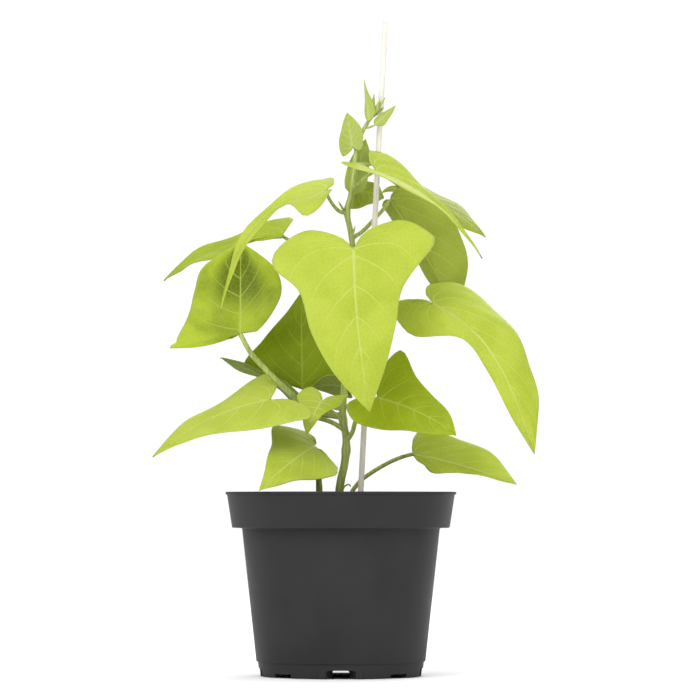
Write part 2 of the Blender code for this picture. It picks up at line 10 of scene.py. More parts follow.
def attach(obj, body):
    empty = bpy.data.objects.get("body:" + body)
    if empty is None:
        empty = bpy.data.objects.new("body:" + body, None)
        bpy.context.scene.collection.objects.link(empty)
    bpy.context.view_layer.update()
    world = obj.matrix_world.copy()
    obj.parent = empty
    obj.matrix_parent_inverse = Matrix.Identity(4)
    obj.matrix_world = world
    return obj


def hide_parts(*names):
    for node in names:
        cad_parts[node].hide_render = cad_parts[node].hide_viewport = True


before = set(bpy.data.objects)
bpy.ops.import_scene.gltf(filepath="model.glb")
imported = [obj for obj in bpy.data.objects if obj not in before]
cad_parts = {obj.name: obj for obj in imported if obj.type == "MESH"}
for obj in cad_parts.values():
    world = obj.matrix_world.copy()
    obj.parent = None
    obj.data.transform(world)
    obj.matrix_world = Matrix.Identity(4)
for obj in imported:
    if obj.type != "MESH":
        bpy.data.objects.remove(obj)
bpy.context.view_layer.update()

LOG = logging.getLogger("sweet_potato_vine")
MM = 0.001
ROOT = "root"


class Tone(Enum):
    """How old a blade is and how much shade is painted into it, which picks its two finishes; the shade and dark tones
    are darker finishes that paint in the shade these blades lie in.
    """

    LIME = "lime"
    FRESH = "fresh"
    SHADE = "shade"
    DARK = "dark"
    CUPPED = "cupped"
    PALE = "pale"


@dataclass(frozen=True)
class Half:
    """One half of a blade laid flat, in millimetres.

    reach is how far the lobe runs back behind the stalk's end, at the width lobe. widths are the half-widths
    beside the stalk's end and at 1/4, 1/2 and 3/4 of the length. corner is how far along the first of them lies.
    fold and curl are the degrees that the half is raised at the midrib, and more at its margin.
    """

    reach: float
    lobe: float
    widths: tuple[float, float, float, float]
    corner: float = 0.0
    fold: float = 0.0
    curl: float = 0.0


@dataclass(frozen=True)
class BladeShape:
    """A blade from the end of its stalk to its tip, in millimetres in the row frame.

    face is the way its upper side looks, right and left are its halves with the tip up, and arch and sweep are how
    far the midrib bows out of its chord. wave is the height of the margin's ripples and puff the quilting's.
    """

    name: str
    base: tuple[float, float, float]
    tip: tuple[float, float, float]
    face: tuple[float, float, float]
    right: Half
    left: Half
    arch: float = 0.0
    sweep: float = 0.0
    skew: float = 0.0
    tone: Tone = Tone.LIME
    wave: float = 0.8
    ripples: float = 3.0
    puff: float = 1.0


# Blades with the shade or dark tone lie in shade, which their finishes paint into the colour.
BLADES = (
    BladeShape("leaf_front_heart", (7, -38, 238), (16, -55, 147), (0.0, -1.0, 0.25),
               Half(12, 26, (45, 31, 26, 16), 9, 4, -12), Half(18, 27, (45, 27, 21, 12.5), -3, 4, -12), 5, 2),
    BladeShape("leaf_right_drooping", (52, -15, 209), (107, -45, 124), (0.45, -0.85, 0.35),
               Half(20, 10, (21, 8, 7, 6), 3, -30, -10), Half(12, 14, (25, 24.5, 21, 13.5), -2, 6, -20), 12, -5, 0.3,
               wave=1.0, ripples=4.0, puff=1.6),
    BladeShape("leaf_upper_right", (20, -14, 284), (79, -22, 234), (0.6, 0.0, 0.8),
               Half(18, 12, (20, 14, 9, 3), 0, -12, -5), Half(9, 19, (21, 10, 4, 2), 0, 38, 0), 7),
    BladeShape("leaf_right_back", (34, 40, 279), (83, 37, 250), (0.5, -0.5, 0.8),
               Half(8, 10, (6, 6, 8, 8), 0, 0, -20), Half(10, 12, (20, 21, 18, 11), 0, 0, -20), 4, tone=Tone.SHADE),
    BladeShape("leaf_right_shaded", (28, 16, 270), (66, 16, 205), (0.3, -0.95, 0.2),
               Half(2, 3, (7, 8, 8, 6), 0, -60, 0), Half(4, 10, (20, 28, 27, 19), 0, 0, -15), 4, tone=Tone.SHADE),
    BladeShape("leaf_behind_stem", (8, 15, 275), (24.5, 16, 271), (0.0, -0.9, 0.4),
               Half(3, 8, (12, 11, 8, 5)), Half(4, 5, (7, 7, 7, 6)), 2, tone=Tone.SHADE, wave=0.3),
    BladeShape("leaf_upper_left", (-9, -12, 273), (-67, -34, 203), (-0.72, -0.3, 0.6),
               Half(9, 16, (16, 6, 5, 1.5), 0, 32, -10), Half(2, 4, (22, 3, 6, 3), 22, -10, -30), 17, 0, 0.15),
    BladeShape("leaf_left_cupped", (-57, -5, 193), (-57, 9, 246), (0.0, -0.9, 0.1),
               Half(1, 6, (10, 21, 24, 19), 0, 10, 10), Half(11, 39, (35, 29, 26, 21), -3), -6, 0, 0.1,
               tone=Tone.CUPPED, puff=1.5),
    BladeShape("leaf_far_left", (-34, 24, 250), (-102, 40, 225), (-0.33, 0.0, 0.94),
               Half(3, 20, (24, 14, 9, 11), 0, 32, -10), Half(2, 5, (6, 6, 18, 12), 0, -10, -10), 6, tone=Tone.FRESH),
    BladeShape("leaf_lower_left", (-40, -16.5, 155), (-106, -1.5, 123), (0.1, -0.5, 0.85),
               Half(4, 18, (32, 21, 11, 12), 2, 0, -5), Half(24, 24, (28, 23, 17, 7.5), 0, 0, -5), 5, 1.5, puff=1.2),
    BladeShape("leaf_inner_dark", (-22, 22, 162), (-23, 36, 218), (0.0, -0.9, -0.3),
               Half(0, 6, (12, 24, 18, 9)), Half(-4, 10, (18, 33, 22, 10), 8), 4, tone=Tone.DARK),
    BladeShape("leaf_edge_on", (-24, 13, 154), (-69, 22, 180), (0.35, 0.42, 0.5),
               Half(3, 4, (5, 3, 3, 6)), Half(3, 4, (8, 7, 3, 3)), 4, tone=Tone.DARK, wave=0.3),
    BladeShape("leaf_small_centre", (-11, -14, 154), (-19, -24, 135), (-0.1, -0.7, 0.7),
               Half(10, 10, (15, 10, 7, 4)), Half(10, 12, (11, 7, 4, 2)), 2, wave=0.4),
    BladeShape("leaf_small_behind", (2, 10.4, 163), (-17, 16, 163), (0.0, 0.7, 0.6),
               Half(4, 6, (8, 8, 7, 4)), Half(4, 6, (8, 8, 7, 4)), 2, tone=Tone.SHADE, wave=0.3),
    BladeShape("leaf_over_rim", (-15, -12, 129), (-45, -57, 103.8), (-0.1, -0.8, 0.6),
               Half(14, 15, (28, 19, 13, 6)), Half(0, 6, (21, 23, 15, 7), 8, -12), 2),
    BladeShape("leaf_lower_right", (20.5, -20, 156), (64, -40, 134.5), (0.1, -0.9, 0.4),
               Half(15, 9, (20, 18, 14, 9)), Half(4, 21, (33, 21, 13, 9), 3), 0, -3, tone=Tone.FRESH),
    BladeShape("leaf_lowest_right", (41, 5, 125), (99, -5, 107.5), (0.0, -0.7, 0.7),
               Half(-2, 3, (5, 9, 4, 2), 7, -20), Half(3, 13, (21, 20, 19, 13)), 1, -1, puff=1.4),
    BladeShape("shoot_leaf_left", (6.5, -3, 299), (3.5, -3, 318), (-0.2, -0.95, 0.1),
               Half(3, 4, (6.5, 7, 6.5, 4), 2), Half(5, 6, (7.5, 7, 5, 3)), tone=Tone.PALE, wave=0.1, puff=0.5),
    BladeShape("shoot_leaf_back", (6, 4.5, 272), (14, 6, 304), (0.1, -0.95, 0.1),
               Half(-2, 3, (6, 7, 6, 5), 4), Half(-2, 2, (5, 6, 6, 4), 4), tone=Tone.PALE, wave=0.1, puff=0.5),
    BladeShape("shoot_leaf_tip", (16, -4.2, 313), (13, -3.4, 337), (0.1, -0.95, 0.1),
               Half(-1, 1, (3, 4, 3, 1), 3), Half(-1, 1, (2, 2, 1, 0.5), 3), tone=Tone.PALE, wave=0.0, puff=0.3),
    BladeShape("shoot_leaf_side", (19, -2.8, 311), (31, -4.6, 322), (0.1, -0.95, 0.15),
               Half(-1, 1.6, (3, 4, 3, 2), 3), Half(-1, 1.6, (2.5, 2.5, 2, 1), 3), tone=Tone.PALE, wave=0.0, puff=0.3),
)


# Shared tools.


def deselect() -> None:
    """Leaves edit mode and deselects everything."""
    if bpy.context.object and bpy.context.object.mode != "OBJECT":
        bpy.ops.object.mode_set(mode="OBJECT")
    bpy.ops.object.select_all(action="DESELECT")


def activate(item: bpy.types.Object) -> None:
    """Makes an object the only selected one and the active one."""
    deselect()
    item.select_set(True)
    bpy.context.view_layer.objects.active = item


def apply_modifiers(item: bpy.types.Object) -> None:
    """Applies every modifier of an object, in order."""
    activate(item)
    for name in [modifier.name for modifier in item.modifiers]:
        bpy.ops.object.modifier_apply(modifier=name)


def settle(item: bpy.types.Object) -> None:
    """Moves an object's place, turn and size into its mesh."""
    activate(item)
    bpy.ops.object.transform_apply(location=True, rotation=True, scale=True)


def join(name: str, items: list[bpy.types.Object]) -> bpy.types.Object:
    """Joins objects into the first of them and names it.

    Args:
        name: the joined object's name.
        items: the objects, of which the first one stays.

    Returns:
        The joined object.
    """
    deselect()
    for item in items:
        item.select_set(True)
    bpy.context.view_layer.objects.active = items[0]
    if len(items) > 1:
        bpy.ops.object.join()
    items[0].name = name
    items[0].data.name = name
    return items[0]


def dress(item: bpy.types.Object, slot: str, *nodes: str) -> None:
    """Ties a finished piece to the root body, hides the CAD nodes it stands for, and reports it.

    Args:
        item: the finished piece.
        slot: a material slot name, not used.
        nodes: the CAD nodes that it replaces.
    """
    settle(item)
    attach(item, ROOT)
    if nodes:
        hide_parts(*nodes)
    LOG.info("%s: %d faces, stands for %s", item.name, len(item.data.polygons), ", ".join(nodes) or "no node")


def smooth_route(points: list[Vector], spans: int) -> list[Vector]:
    """Points of a Catmull-Rom curve through a route.

    Args:
        points: the route's points.
        spans: how many steps each stretch between two points gets.

    Returns:
        The finer route, which ends on the last point.
    """
    knots = [2.0 * points[0] - points[1], *points, 2.0 * points[-1] - points[-2]]
    route = []
    for a, b, c, d in zip(knots, knots[1:], knots[2:], knots[3:]):
        for step in range(spans):
            t = step / spans
            route.append(0.5 * (2.0 * b + (c - a) * t + (2.0 * a - 5.0 * b + 4.0 * c - d) * t * t
                                + (3.0 * b - a - 3.0 * c + d) * t ** 3))
    return [*route, knots[-2]]


def rod(name: str, route: list[Vector], radii: list[float], sides: int = 4) -> bpy.types.Object:
    """A round rod of changing thickness along a route, in metres.

    Args:
        name: the rod's name.
        route: its centre line.
        radii: its radius at each point of the route.
        sides: the bevel resolution of its section.

    Returns:
        The rod as a closed mesh object.
    """
    curve = bpy.data.curves.new(name, "CURVE")
    curve.dimensions = "3D"
    curve.bevel_depth = 1.0
    curve.bevel_resolution = sides
    curve.use_fill_caps = True
    spline = curve.splines.new("POLY")
    spline.points.add(len(route) - 1)
    for knot, place, radius in zip(spline.points, route, radii):
        knot.co = (*place, 1.0)
        knot.radius = radius
    item = bpy.data.objects.new(name, curve)
    bpy.context.scene.collection.objects.link(item)
    activate(item)
    bpy.ops.object.convert(target="MESH")
    item = bpy.context.object
    bpy.ops.object.mode_set(mode="EDIT")
    bpy.ops.mesh.select_all(action="SELECT")
    bpy.ops.mesh.remove_doubles(threshold=0.000005)
    bpy.ops.mesh.normals_make_consistent(inside=False)
    bpy.ops.object.mode_set(mode="OBJECT")
    bpy.ops.object.shade_smooth()
    return item


class Nodes:
    """Builds a node tree by short calls."""

    def __init__(self, tree: bpy.types.NodeTree) -> None:
        """Keeps the tree."""
        self.tree = tree

    def add(self, kind: str, values: dict | None = None, **settings: object) -> bpy.types.Node:
        """Adds a node.

        Args:
            kind: the node's type name.
            values: its inputs by name or index: a value, or another node's output to link.
            settings: the node's own properties.

        Returns:
            The node.
        """
        node = self.tree.nodes.new(kind)
        for key, value in settings.items():
            setattr(node, key, value)
        for key, value in (values or {}).items():
            if isinstance(value, bpy.types.NodeSocket):
                self.tree.links.new(value, node.inputs[key])
            else:
                node.inputs[key].default_value = value
        return node

    def math(self, operation: str, first: object, second: object = 0.0, clamp: bool = False) -> bpy.types.NodeSocket:
        """The output of a Math node on two values or outputs."""
        return self.add("ShaderNodeMath", {0: first, 1: second}, operation=operation, use_clamp=clamp).outputs[0]

    def ramp(self, value: object, low: float, high: float, to_low: float = 0.0,
             to_high: float = 1.0) -> bpy.types.NodeSocket:
        """The output of a smooth Map Range node."""
        places = {"Value": value, "From Min": low, "From Max": high, "To Min": to_low, "To Max": to_high}
        return self.add("ShaderNodeMapRange", places, interpolation_type="SMOOTHSTEP").outputs["Result"]

    def mix(self, factor: object, first: object, second: object, blend: str = "MIX") -> bpy.types.NodeSocket:
        """The output of a colour Mix node."""
        node = self.add("ShaderNodeMix", data_type="RGBA", blend_type=blend, clamp_factor=True)
        for key, value in ((0, factor), (6, first), (7, second)):
            if isinstance(value, bpy.types.NodeSocket):
                self.tree.links.new(value, node.inputs[key])
            else:
                node.inputs[key].default_value = value
        return node.outputs[2]


def rgba(red: float, green: float, blue: float) -> tuple[float, float, float, float]:
    """A linear colour from an sRGB colour of 0 to 255."""
    parts = [c / 255.0 for c in (red, green, blue)]
    linear = [p / 12.92 if p <= 0.04045 else ((p + 0.055) / 1.055) ** 2.4 for p in parts]
    return (*linear, 1.0)


# Finishes.


class LeafPattern:
    """The shader group that draws a blade's veins, network and mottling from its own maps, and paints shade near the
    midrib.
    """

    NAME = "leaf pattern"

    def group(self) -> bpy.types.NodeTree:
        """The group, built once.

        Returns:
            The node group, with the inputs Lamina, Deep, Vein and Inner and the outputs Color, Height and Veins.
        """
        found = bpy.data.node_groups.get(self.NAME)
        return found or self._build()

    def _build(self) -> bpy.types.NodeTree:
        """Builds the group."""
        tree = bpy.data.node_groups.new(self.NAME, "ShaderNodeTree")
        for name in ("Lamina", "Deep", "Vein"):
            tree.interface.new_socket(name, in_out="INPUT", socket_type="NodeSocketColor")
        tree.interface.new_socket("Inner Shade", in_out="INPUT", socket_type="NodeSocketFloat")
        for name, kind in (("Color", "Color"), ("Height", "Float"), ("Veins", "Float")):
            tree.interface.new_socket(name, in_out="OUTPUT", socket_type=f"NodeSocket{kind}")
        nodes = Nodes(tree)
        given = nodes.add("NodeGroupInput")
        out = nodes.add("NodeGroupOutput")
        ray = nodes.add("ShaderNodeSeparateXYZ", {0: nodes.add("ShaderNodeUVMap", uv_map="VeinMap").outputs[0]})
        spread = nodes.add("ShaderNodeSeparateXYZ", {0: nodes.add("ShaderNodeUVMap", uv_map="SpreadMap").outputs[0]})
        flat_map = nodes.add("ShaderNodeUVMap", uv_map="FlatMap").outputs[0]
        flat = nodes.add("ShaderNodeSeparateXYZ", {0: flat_map})
        out_share = ray.outputs["Y"]
        slant = nodes.math("ADD", nodes.math("MULTIPLY", out_share, 1.3),
                           nodes.math("MULTIPLY", nodes.math("POWER", out_share, 2.0), 0.4))
        bent = nodes.math("SUBTRACT", ray.outputs["X"], slant)
        off = nodes.math("ABSOLUTE", nodes.math("SUBTRACT", bent, nodes.math("ROUND", bent)))
        width = nodes.math("MULTIPLY", nodes.math("SUBTRACT", 1.12, out_share), 0.50)
        side = nodes.math("DIVIDE", nodes.math("MULTIPLY", off, spread.outputs["X"]), width)
        side_vein = nodes.ramp(side, 0.35, 1.25, 1.0, 0.0)
        inside = nodes.ramp(ray.outputs["X"], 0.3, 0.6)
        side_vein = nodes.math("MULTIPLY", side_vein, inside)
        rib_width = nodes.math("MULTIPLY", nodes.math("SUBTRACT", 1.15, spread.outputs["Y"]), 0.75)
        rib = nodes.ramp(nodes.math("DIVIDE", nodes.math("ABSOLUTE", flat.outputs["Y"]), rib_width), 0.5, 1.3, 1.0, 0.0)
        veins = nodes.math("MAXIMUM", nodes.math("MULTIPLY", side_vein, 0.8), rib)
        wobble = nodes.add("ShaderNodeTexNoise", {"Vector": flat_map, "Scale": 0.25, "Detail": 2.0})
        moved = nodes.add("ShaderNodeVectorMath", {0: flat_map, 1: wobble.outputs["Color"]}, operation="ADD")
        cells = nodes.add("ShaderNodeTexVoronoi", {"Vector": moved.outputs[0], "Scale": 0.36},
                          feature="DISTANCE_TO_EDGE", voronoi_dimensions="2D")
        calm = nodes.ramp(spread.outputs["X"], 1.5, 5.0, 0.15, 1.0)
        net = nodes.math("MULTIPLY", nodes.ramp(cells.outputs["Distance"], 0.02, 0.20, 1.0, 0.0), calm)
        broad = nodes.add("ShaderNodeTexNoise", {"Vector": flat_map, "Scale": 0.045, "Detail": 3.0})
        mottle = nodes.ramp(broad.outputs[0], 0.35, 0.68, 0.0, 0.55)
        # Painted shade: the Deep colour laid near the midrib, fading out towards the margin and the stalk's end, as
        # strong as the Inner input.
        within = nodes.ramp(out_share, 0.30, 0.90, 1.0, 0.0)
        inner = nodes.math("MULTIPLY", nodes.math("MULTIPLY", within, nodes.ramp(spread.outputs["Y"], 0.12, 0.55)),
                           given.outputs["Inner Shade"])
        lamina = nodes.mix(nodes.math("MAXIMUM", mottle, inner), given.outputs["Lamina"], given.outputs["Deep"])
        lamina = nodes.mix(nodes.math("MULTIPLY", net, 0.13), lamina, given.outputs["Vein"])
        edge = nodes.ramp(out_share, 0.93, 1.0, 0.0, 0.35)
        lamina = nodes.mix(edge, lamina, given.outputs["Vein"])
        colour = nodes.mix(nodes.math("MULTIPLY", veins, 0.75), lamina, given.outputs["Vein"])
        pores = nodes.add("ShaderNodeTexNoise", {"Vector": flat_map, "Scale": 2.2, "Detail": 2.0})
        height = nodes.math("ADD", nodes.math("MULTIPLY", veins, -1.0), nodes.math("MULTIPLY", net, -0.16))
        height = nodes.math("ADD", height, nodes.math("MULTIPLY", pores.outputs[0], 0.07))
        height = nodes.math("MULTIPLY", height, calm)
        tree.links.new(colour, out.inputs["Color"])
        tree.links.new(height, out.inputs["Height"])
        tree.links.new(veins, out.inputs["Veins"])
        return tree


@dataclass(frozen=True)
class LeafFinish:
    """Living leaf: soft waxy skin with pale veins, through which some of the light passes, with painted shade near the
    midrib.
    """

    name: str
    lamina: tuple[float, float, float]
    deep: tuple[float, float, float]
    vein: tuple[float, float, float]
    glow: tuple[float, float, float]
    passing: float = 0.30
    roughness: float = 0.46
    relief: float = 0.30
    # inner is how strong the painted shade near the midrib is.
    inner: float = 0.15
    gloss: float = 0.24

    def material(self) -> bpy.types.Material:
        """The material, built once."""
        found = bpy.data.materials.get(self.name)
        return found or self._build()

    def _build(self) -> bpy.types.Material:
        """Builds the material."""
        made = bpy.data.materials.new(self.name)
        made.use_nodes = True
        made.node_tree.nodes.clear()
        nodes = Nodes(made.node_tree)
        out = nodes.add("ShaderNodeOutputMaterial")
        colours = {"Lamina": rgba(*self.lamina), "Deep": rgba(*self.deep), "Vein": rgba(*self.vein)}
        pattern = nodes.add("ShaderNodeGroup", node_tree=LeafPattern().group())
        for key, value in colours.items():
            pattern.inputs[key].default_value = value
        pattern.inputs["Inner Shade"].default_value = self.inner
        bump = nodes.add("ShaderNodeBump", {"Height": pattern.outputs["Height"], "Strength": self.relief,
                                            "Distance": 0.0006})
        rough = nodes.math("ADD", nodes.math("MULTIPLY", pattern.outputs["Veins"], 0.10), self.roughness)
        skin = nodes.add("ShaderNodeBsdfPrincipled", {
            "Base Color": pattern.outputs["Color"], "Roughness": rough, "Specular IOR Level": self.gloss,
            "Normal": bump.outputs[0]})
        through = nodes.mix(1.0, pattern.outputs["Color"], rgba(*self.glow), "MULTIPLY")
        passed = nodes.add("ShaderNodeBsdfTranslucent", {"Color": through, "Normal": bump.outputs[0]})
        both = nodes.add("ShaderNodeMixShader", {0: self.passing, 1: skin.outputs[0], 2: passed.outputs[0]})
        made.node_tree.links.new(both.outputs[0], out.inputs["Surface"])
        return made


# Painted shade: the shade and dark finishes are darker copies of the leaf finish for blades that lie in shade, and the
# cupped finish paints shade into its blade's middle.
UPPER = {
    Tone.LIME: LeafFinish("leaf lime upper", (193, 208, 70), (170, 188, 38), (214, 225, 126), (255, 250, 110)),
    Tone.FRESH: LeafFinish("leaf fresh upper", (168, 186, 18), (140, 160, 2), (192, 207, 86), (255, 250, 80)),
    Tone.SHADE: LeafFinish("leaf shade upper", (168, 182, 62), (144, 159, 40), (192, 204, 106), (250, 250, 110)),
    Tone.DARK: LeafFinish("leaf deep shade upper", (146, 166, 2), (112, 132, 0), (174, 192, 66), (245, 250, 50)),
    # The cupped blade gets the full painted shade in its hollow middle.
    Tone.CUPPED: LeafFinish("leaf cupped upper", (182, 200, 46), (104, 122, 0), (196, 212, 96), (250, 250, 80),
                            inner=1.0),
    Tone.PALE: LeafFinish("leaf pale upper", (182, 197, 98), (160, 177, 66), (204, 216, 132), (255, 252, 150)),
}
# The shade and dark undersides likewise carry painted shade.
UNDER = {
    Tone.LIME: LeafFinish("leaf lime under", (172, 186, 94), (156, 171, 76), (196, 208, 130), (255, 250, 130),
                          roughness=0.62, gloss=0.15),
    Tone.FRESH: LeafFinish("leaf fresh under", (160, 175, 76), (144, 160, 58), (186, 199, 112), (255, 250, 120),
                           roughness=0.62, gloss=0.15),
    Tone.SHADE: LeafFinish("leaf shade under", (156, 169, 86), (140, 154, 68), (182, 194, 116), (250, 250, 130),
                           roughness=0.62, gloss=0.15),
    Tone.DARK: LeafFinish("leaf deep shade under", (142, 158, 76), (124, 140, 56), (172, 186, 108), (245, 250, 110),
                          roughness=0.62, gloss=0.15),
    Tone.CUPPED: LeafFinish("leaf cupped under", (168, 183, 84), (150, 166, 64), (192, 205, 120), (250, 250, 120),
                            roughness=0.62, gloss=0.15),
    Tone.PALE: LeafFinish("leaf pale under", (172, 188, 100), (156, 173, 80), (196, 209, 130), (255, 252, 150),
                          roughness=0.62, gloss=0.15),
}


@dataclass(frozen=True)
class StemFinish:
    """Green stem: waxy, with fine lengthwise streaks and a little light in it."""

    name: str = "green stem"
    pale: tuple[float, float, float] = (172, 184, 98)
    deep: tuple[float, float, float] = (128, 144, 58)

    def material(self) -> bpy.types.Material:
        """Builds the material."""
        made = bpy.data.materials.new(self.name)
        made.use_nodes = True
        nodes = Nodes(made.node_tree)
        skin = made.node_tree.nodes["Principled BSDF"]
        place = nodes.add("ShaderNodeTexCoord").outputs["Object"]
        drawn = nodes.add("ShaderNodeMapping", {"Vector": place, "Scale": (900.0, 900.0, 60.0)}).outputs[0]
        streak = nodes.add("ShaderNodeTexNoise", {"Vector": drawn, "Scale": 1.0, "Detail": 2.0}).outputs[0]
        patch = nodes.add("ShaderNodeTexNoise", {"Vector": place, "Scale": 45.0, "Detail": 2.0}).outputs[0]
        share = nodes.ramp(nodes.math("ADD", nodes.math("MULTIPLY", streak, 0.6), nodes.math("MULTIPLY", patch, 0.4)),
                           0.36, 0.64)
        colour = nodes.mix(share, rgba(*self.pale), rgba(*self.deep))
        bump = nodes.add("ShaderNodeBump", {"Height": streak, "Strength": 0.2, "Distance": 0.0002}).outputs[0]
        made.node_tree.links.new(colour, skin.inputs["Base Color"])
        made.node_tree.links.new(bump, skin.inputs["Normal"])
        skin.inputs["Roughness"].default_value = 0.45
        skin.inputs["Subsurface Weight"].default_value = 0.15
        skin.inputs["Subsurface Radius"].default_value = (0.003, 0.003, 0.001)
        skin.inputs["Subsurface Scale"].default_value = 0.5
        return made


@dataclass(frozen=True)
class PotFinish:
    """Black moulded plastic: nearly matte, with a very fine grain."""

    name: str = "black pot plastic"
    colour: tuple[float, float, float] = (47, 47, 48)
    roughness: float = 0.48

    def material(self) -> bpy.types.Material:
        """Builds the material."""
        made = bpy.data.materials.new(self.name)
        made.use_nodes = True
        nodes = Nodes(made.node_tree)
        skin = made.node_tree.nodes["Principled BSDF"]
        place = nodes.add("ShaderNodeTexCoord").outputs["Object"]
        grain = nodes.add("ShaderNodeTexNoise", {"Vector": place, "Scale": 1400.0, "Detail": 2.0}).outputs[0]
        cloud = nodes.add("ShaderNodeTexNoise", {"Vector": place, "Scale": 30.0, "Detail": 3.0}).outputs[0]
        base = rgba(*self.colour)
        lighter = rgba(*(c + 4 for c in self.colour))
        skin.inputs["Specular IOR Level"].default_value = 0.09
        bump = nodes.add("ShaderNodeBump", {"Height": grain, "Strength": 0.12, "Distance": 0.00015}).outputs[0]
        made.node_tree.links.new(nodes.mix(nodes.ramp(cloud, 0.35, 0.65), base, lighter), skin.inputs["Base Color"])
        made.node_tree.links.new(nodes.ramp(cloud, 0.3, 0.7, self.roughness - 0.03, self.roughness + 0.04),
                                 skin.inputs["Roughness"])
        made.node_tree.links.new(bump, skin.inputs["Normal"])
        return made


@dataclass(frozen=True)
class SoilFinish:
    """Damp dark compost with lighter fibres."""

    name: str = "potting compost"

    def material(self) -> bpy.types.Material:
        """Builds the material."""
        made = bpy.data.materials.new(self.name)
        made.use_nodes = True
        nodes = Nodes(made.node_tree)
        skin = made.node_tree.nodes["Principled BSDF"]
        place = nodes.add("ShaderNodeTexCoord").outputs["Object"]
        lumps = nodes.add("ShaderNodeTexNoise", {"Vector": place, "Scale": 260.0, "Detail": 6.0, "Roughness": 0.7})
        fibres = nodes.add("ShaderNodeTexVoronoi", {"Vector": place, "Scale": 520.0}, feature="F1")
        dark = nodes.mix(nodes.ramp(lumps.outputs[0], 0.35, 0.65), rgba(38, 27, 20), rgba(78, 58, 42))
        colour = nodes.mix(nodes.ramp(fibres.outputs["Distance"], 0.0, 0.18, 0.5, 0.0), dark, rgba(120, 96, 70))
        bump = nodes.add("ShaderNodeBump", {"Height": lumps.outputs[0], "Strength": 0.9, "Distance": 0.001})
        made.node_tree.links.new(colour, skin.inputs["Base Color"])
        made.node_tree.links.new(bump.outputs[0], skin.inputs["Normal"])
        skin.inputs["Roughness"].default_value = 0.9
        return made


@dataclass(frozen=True)
class StakeFinish:
    """Dry split bamboo: pale, with fine grain along the stick."""

    name: str = "split bamboo"

    def material(self) -> bpy.types.Material:
        """Builds the material."""
        made = bpy.data.materials.new(self.name)
        made.use_nodes = True
        nodes = Nodes(made.node_tree)
        skin = made.node_tree.nodes["Principled BSDF"]
        place = nodes.add("ShaderNodeTexCoord").outputs["Object"]
        drawn = nodes.add("ShaderNodeMapping", {"Vector": place, "Scale": (2600.0, 2600.0, 26.0)}).outputs[0]
        grain = nodes.add("ShaderNodeTexNoise", {"Vector": drawn, "Scale": 1.0, "Detail": 3.0}).outputs[0]
        colour = nodes.mix(nodes.ramp(grain, 0.38, 0.62), rgba(234, 230, 222), rgba(216, 208, 196))
        bump = nodes.add("ShaderNodeBump", {"Height": grain, "Strength": 0.25, "Distance": 0.0002}).outputs[0]
        made.node_tree.links.new(colour, skin.inputs["Base Color"])
        made.node_tree.links.new(bump, skin.inputs["Normal"])
        skin.inputs["Roughness"].default_value = 0.7
        return made


# Blades.


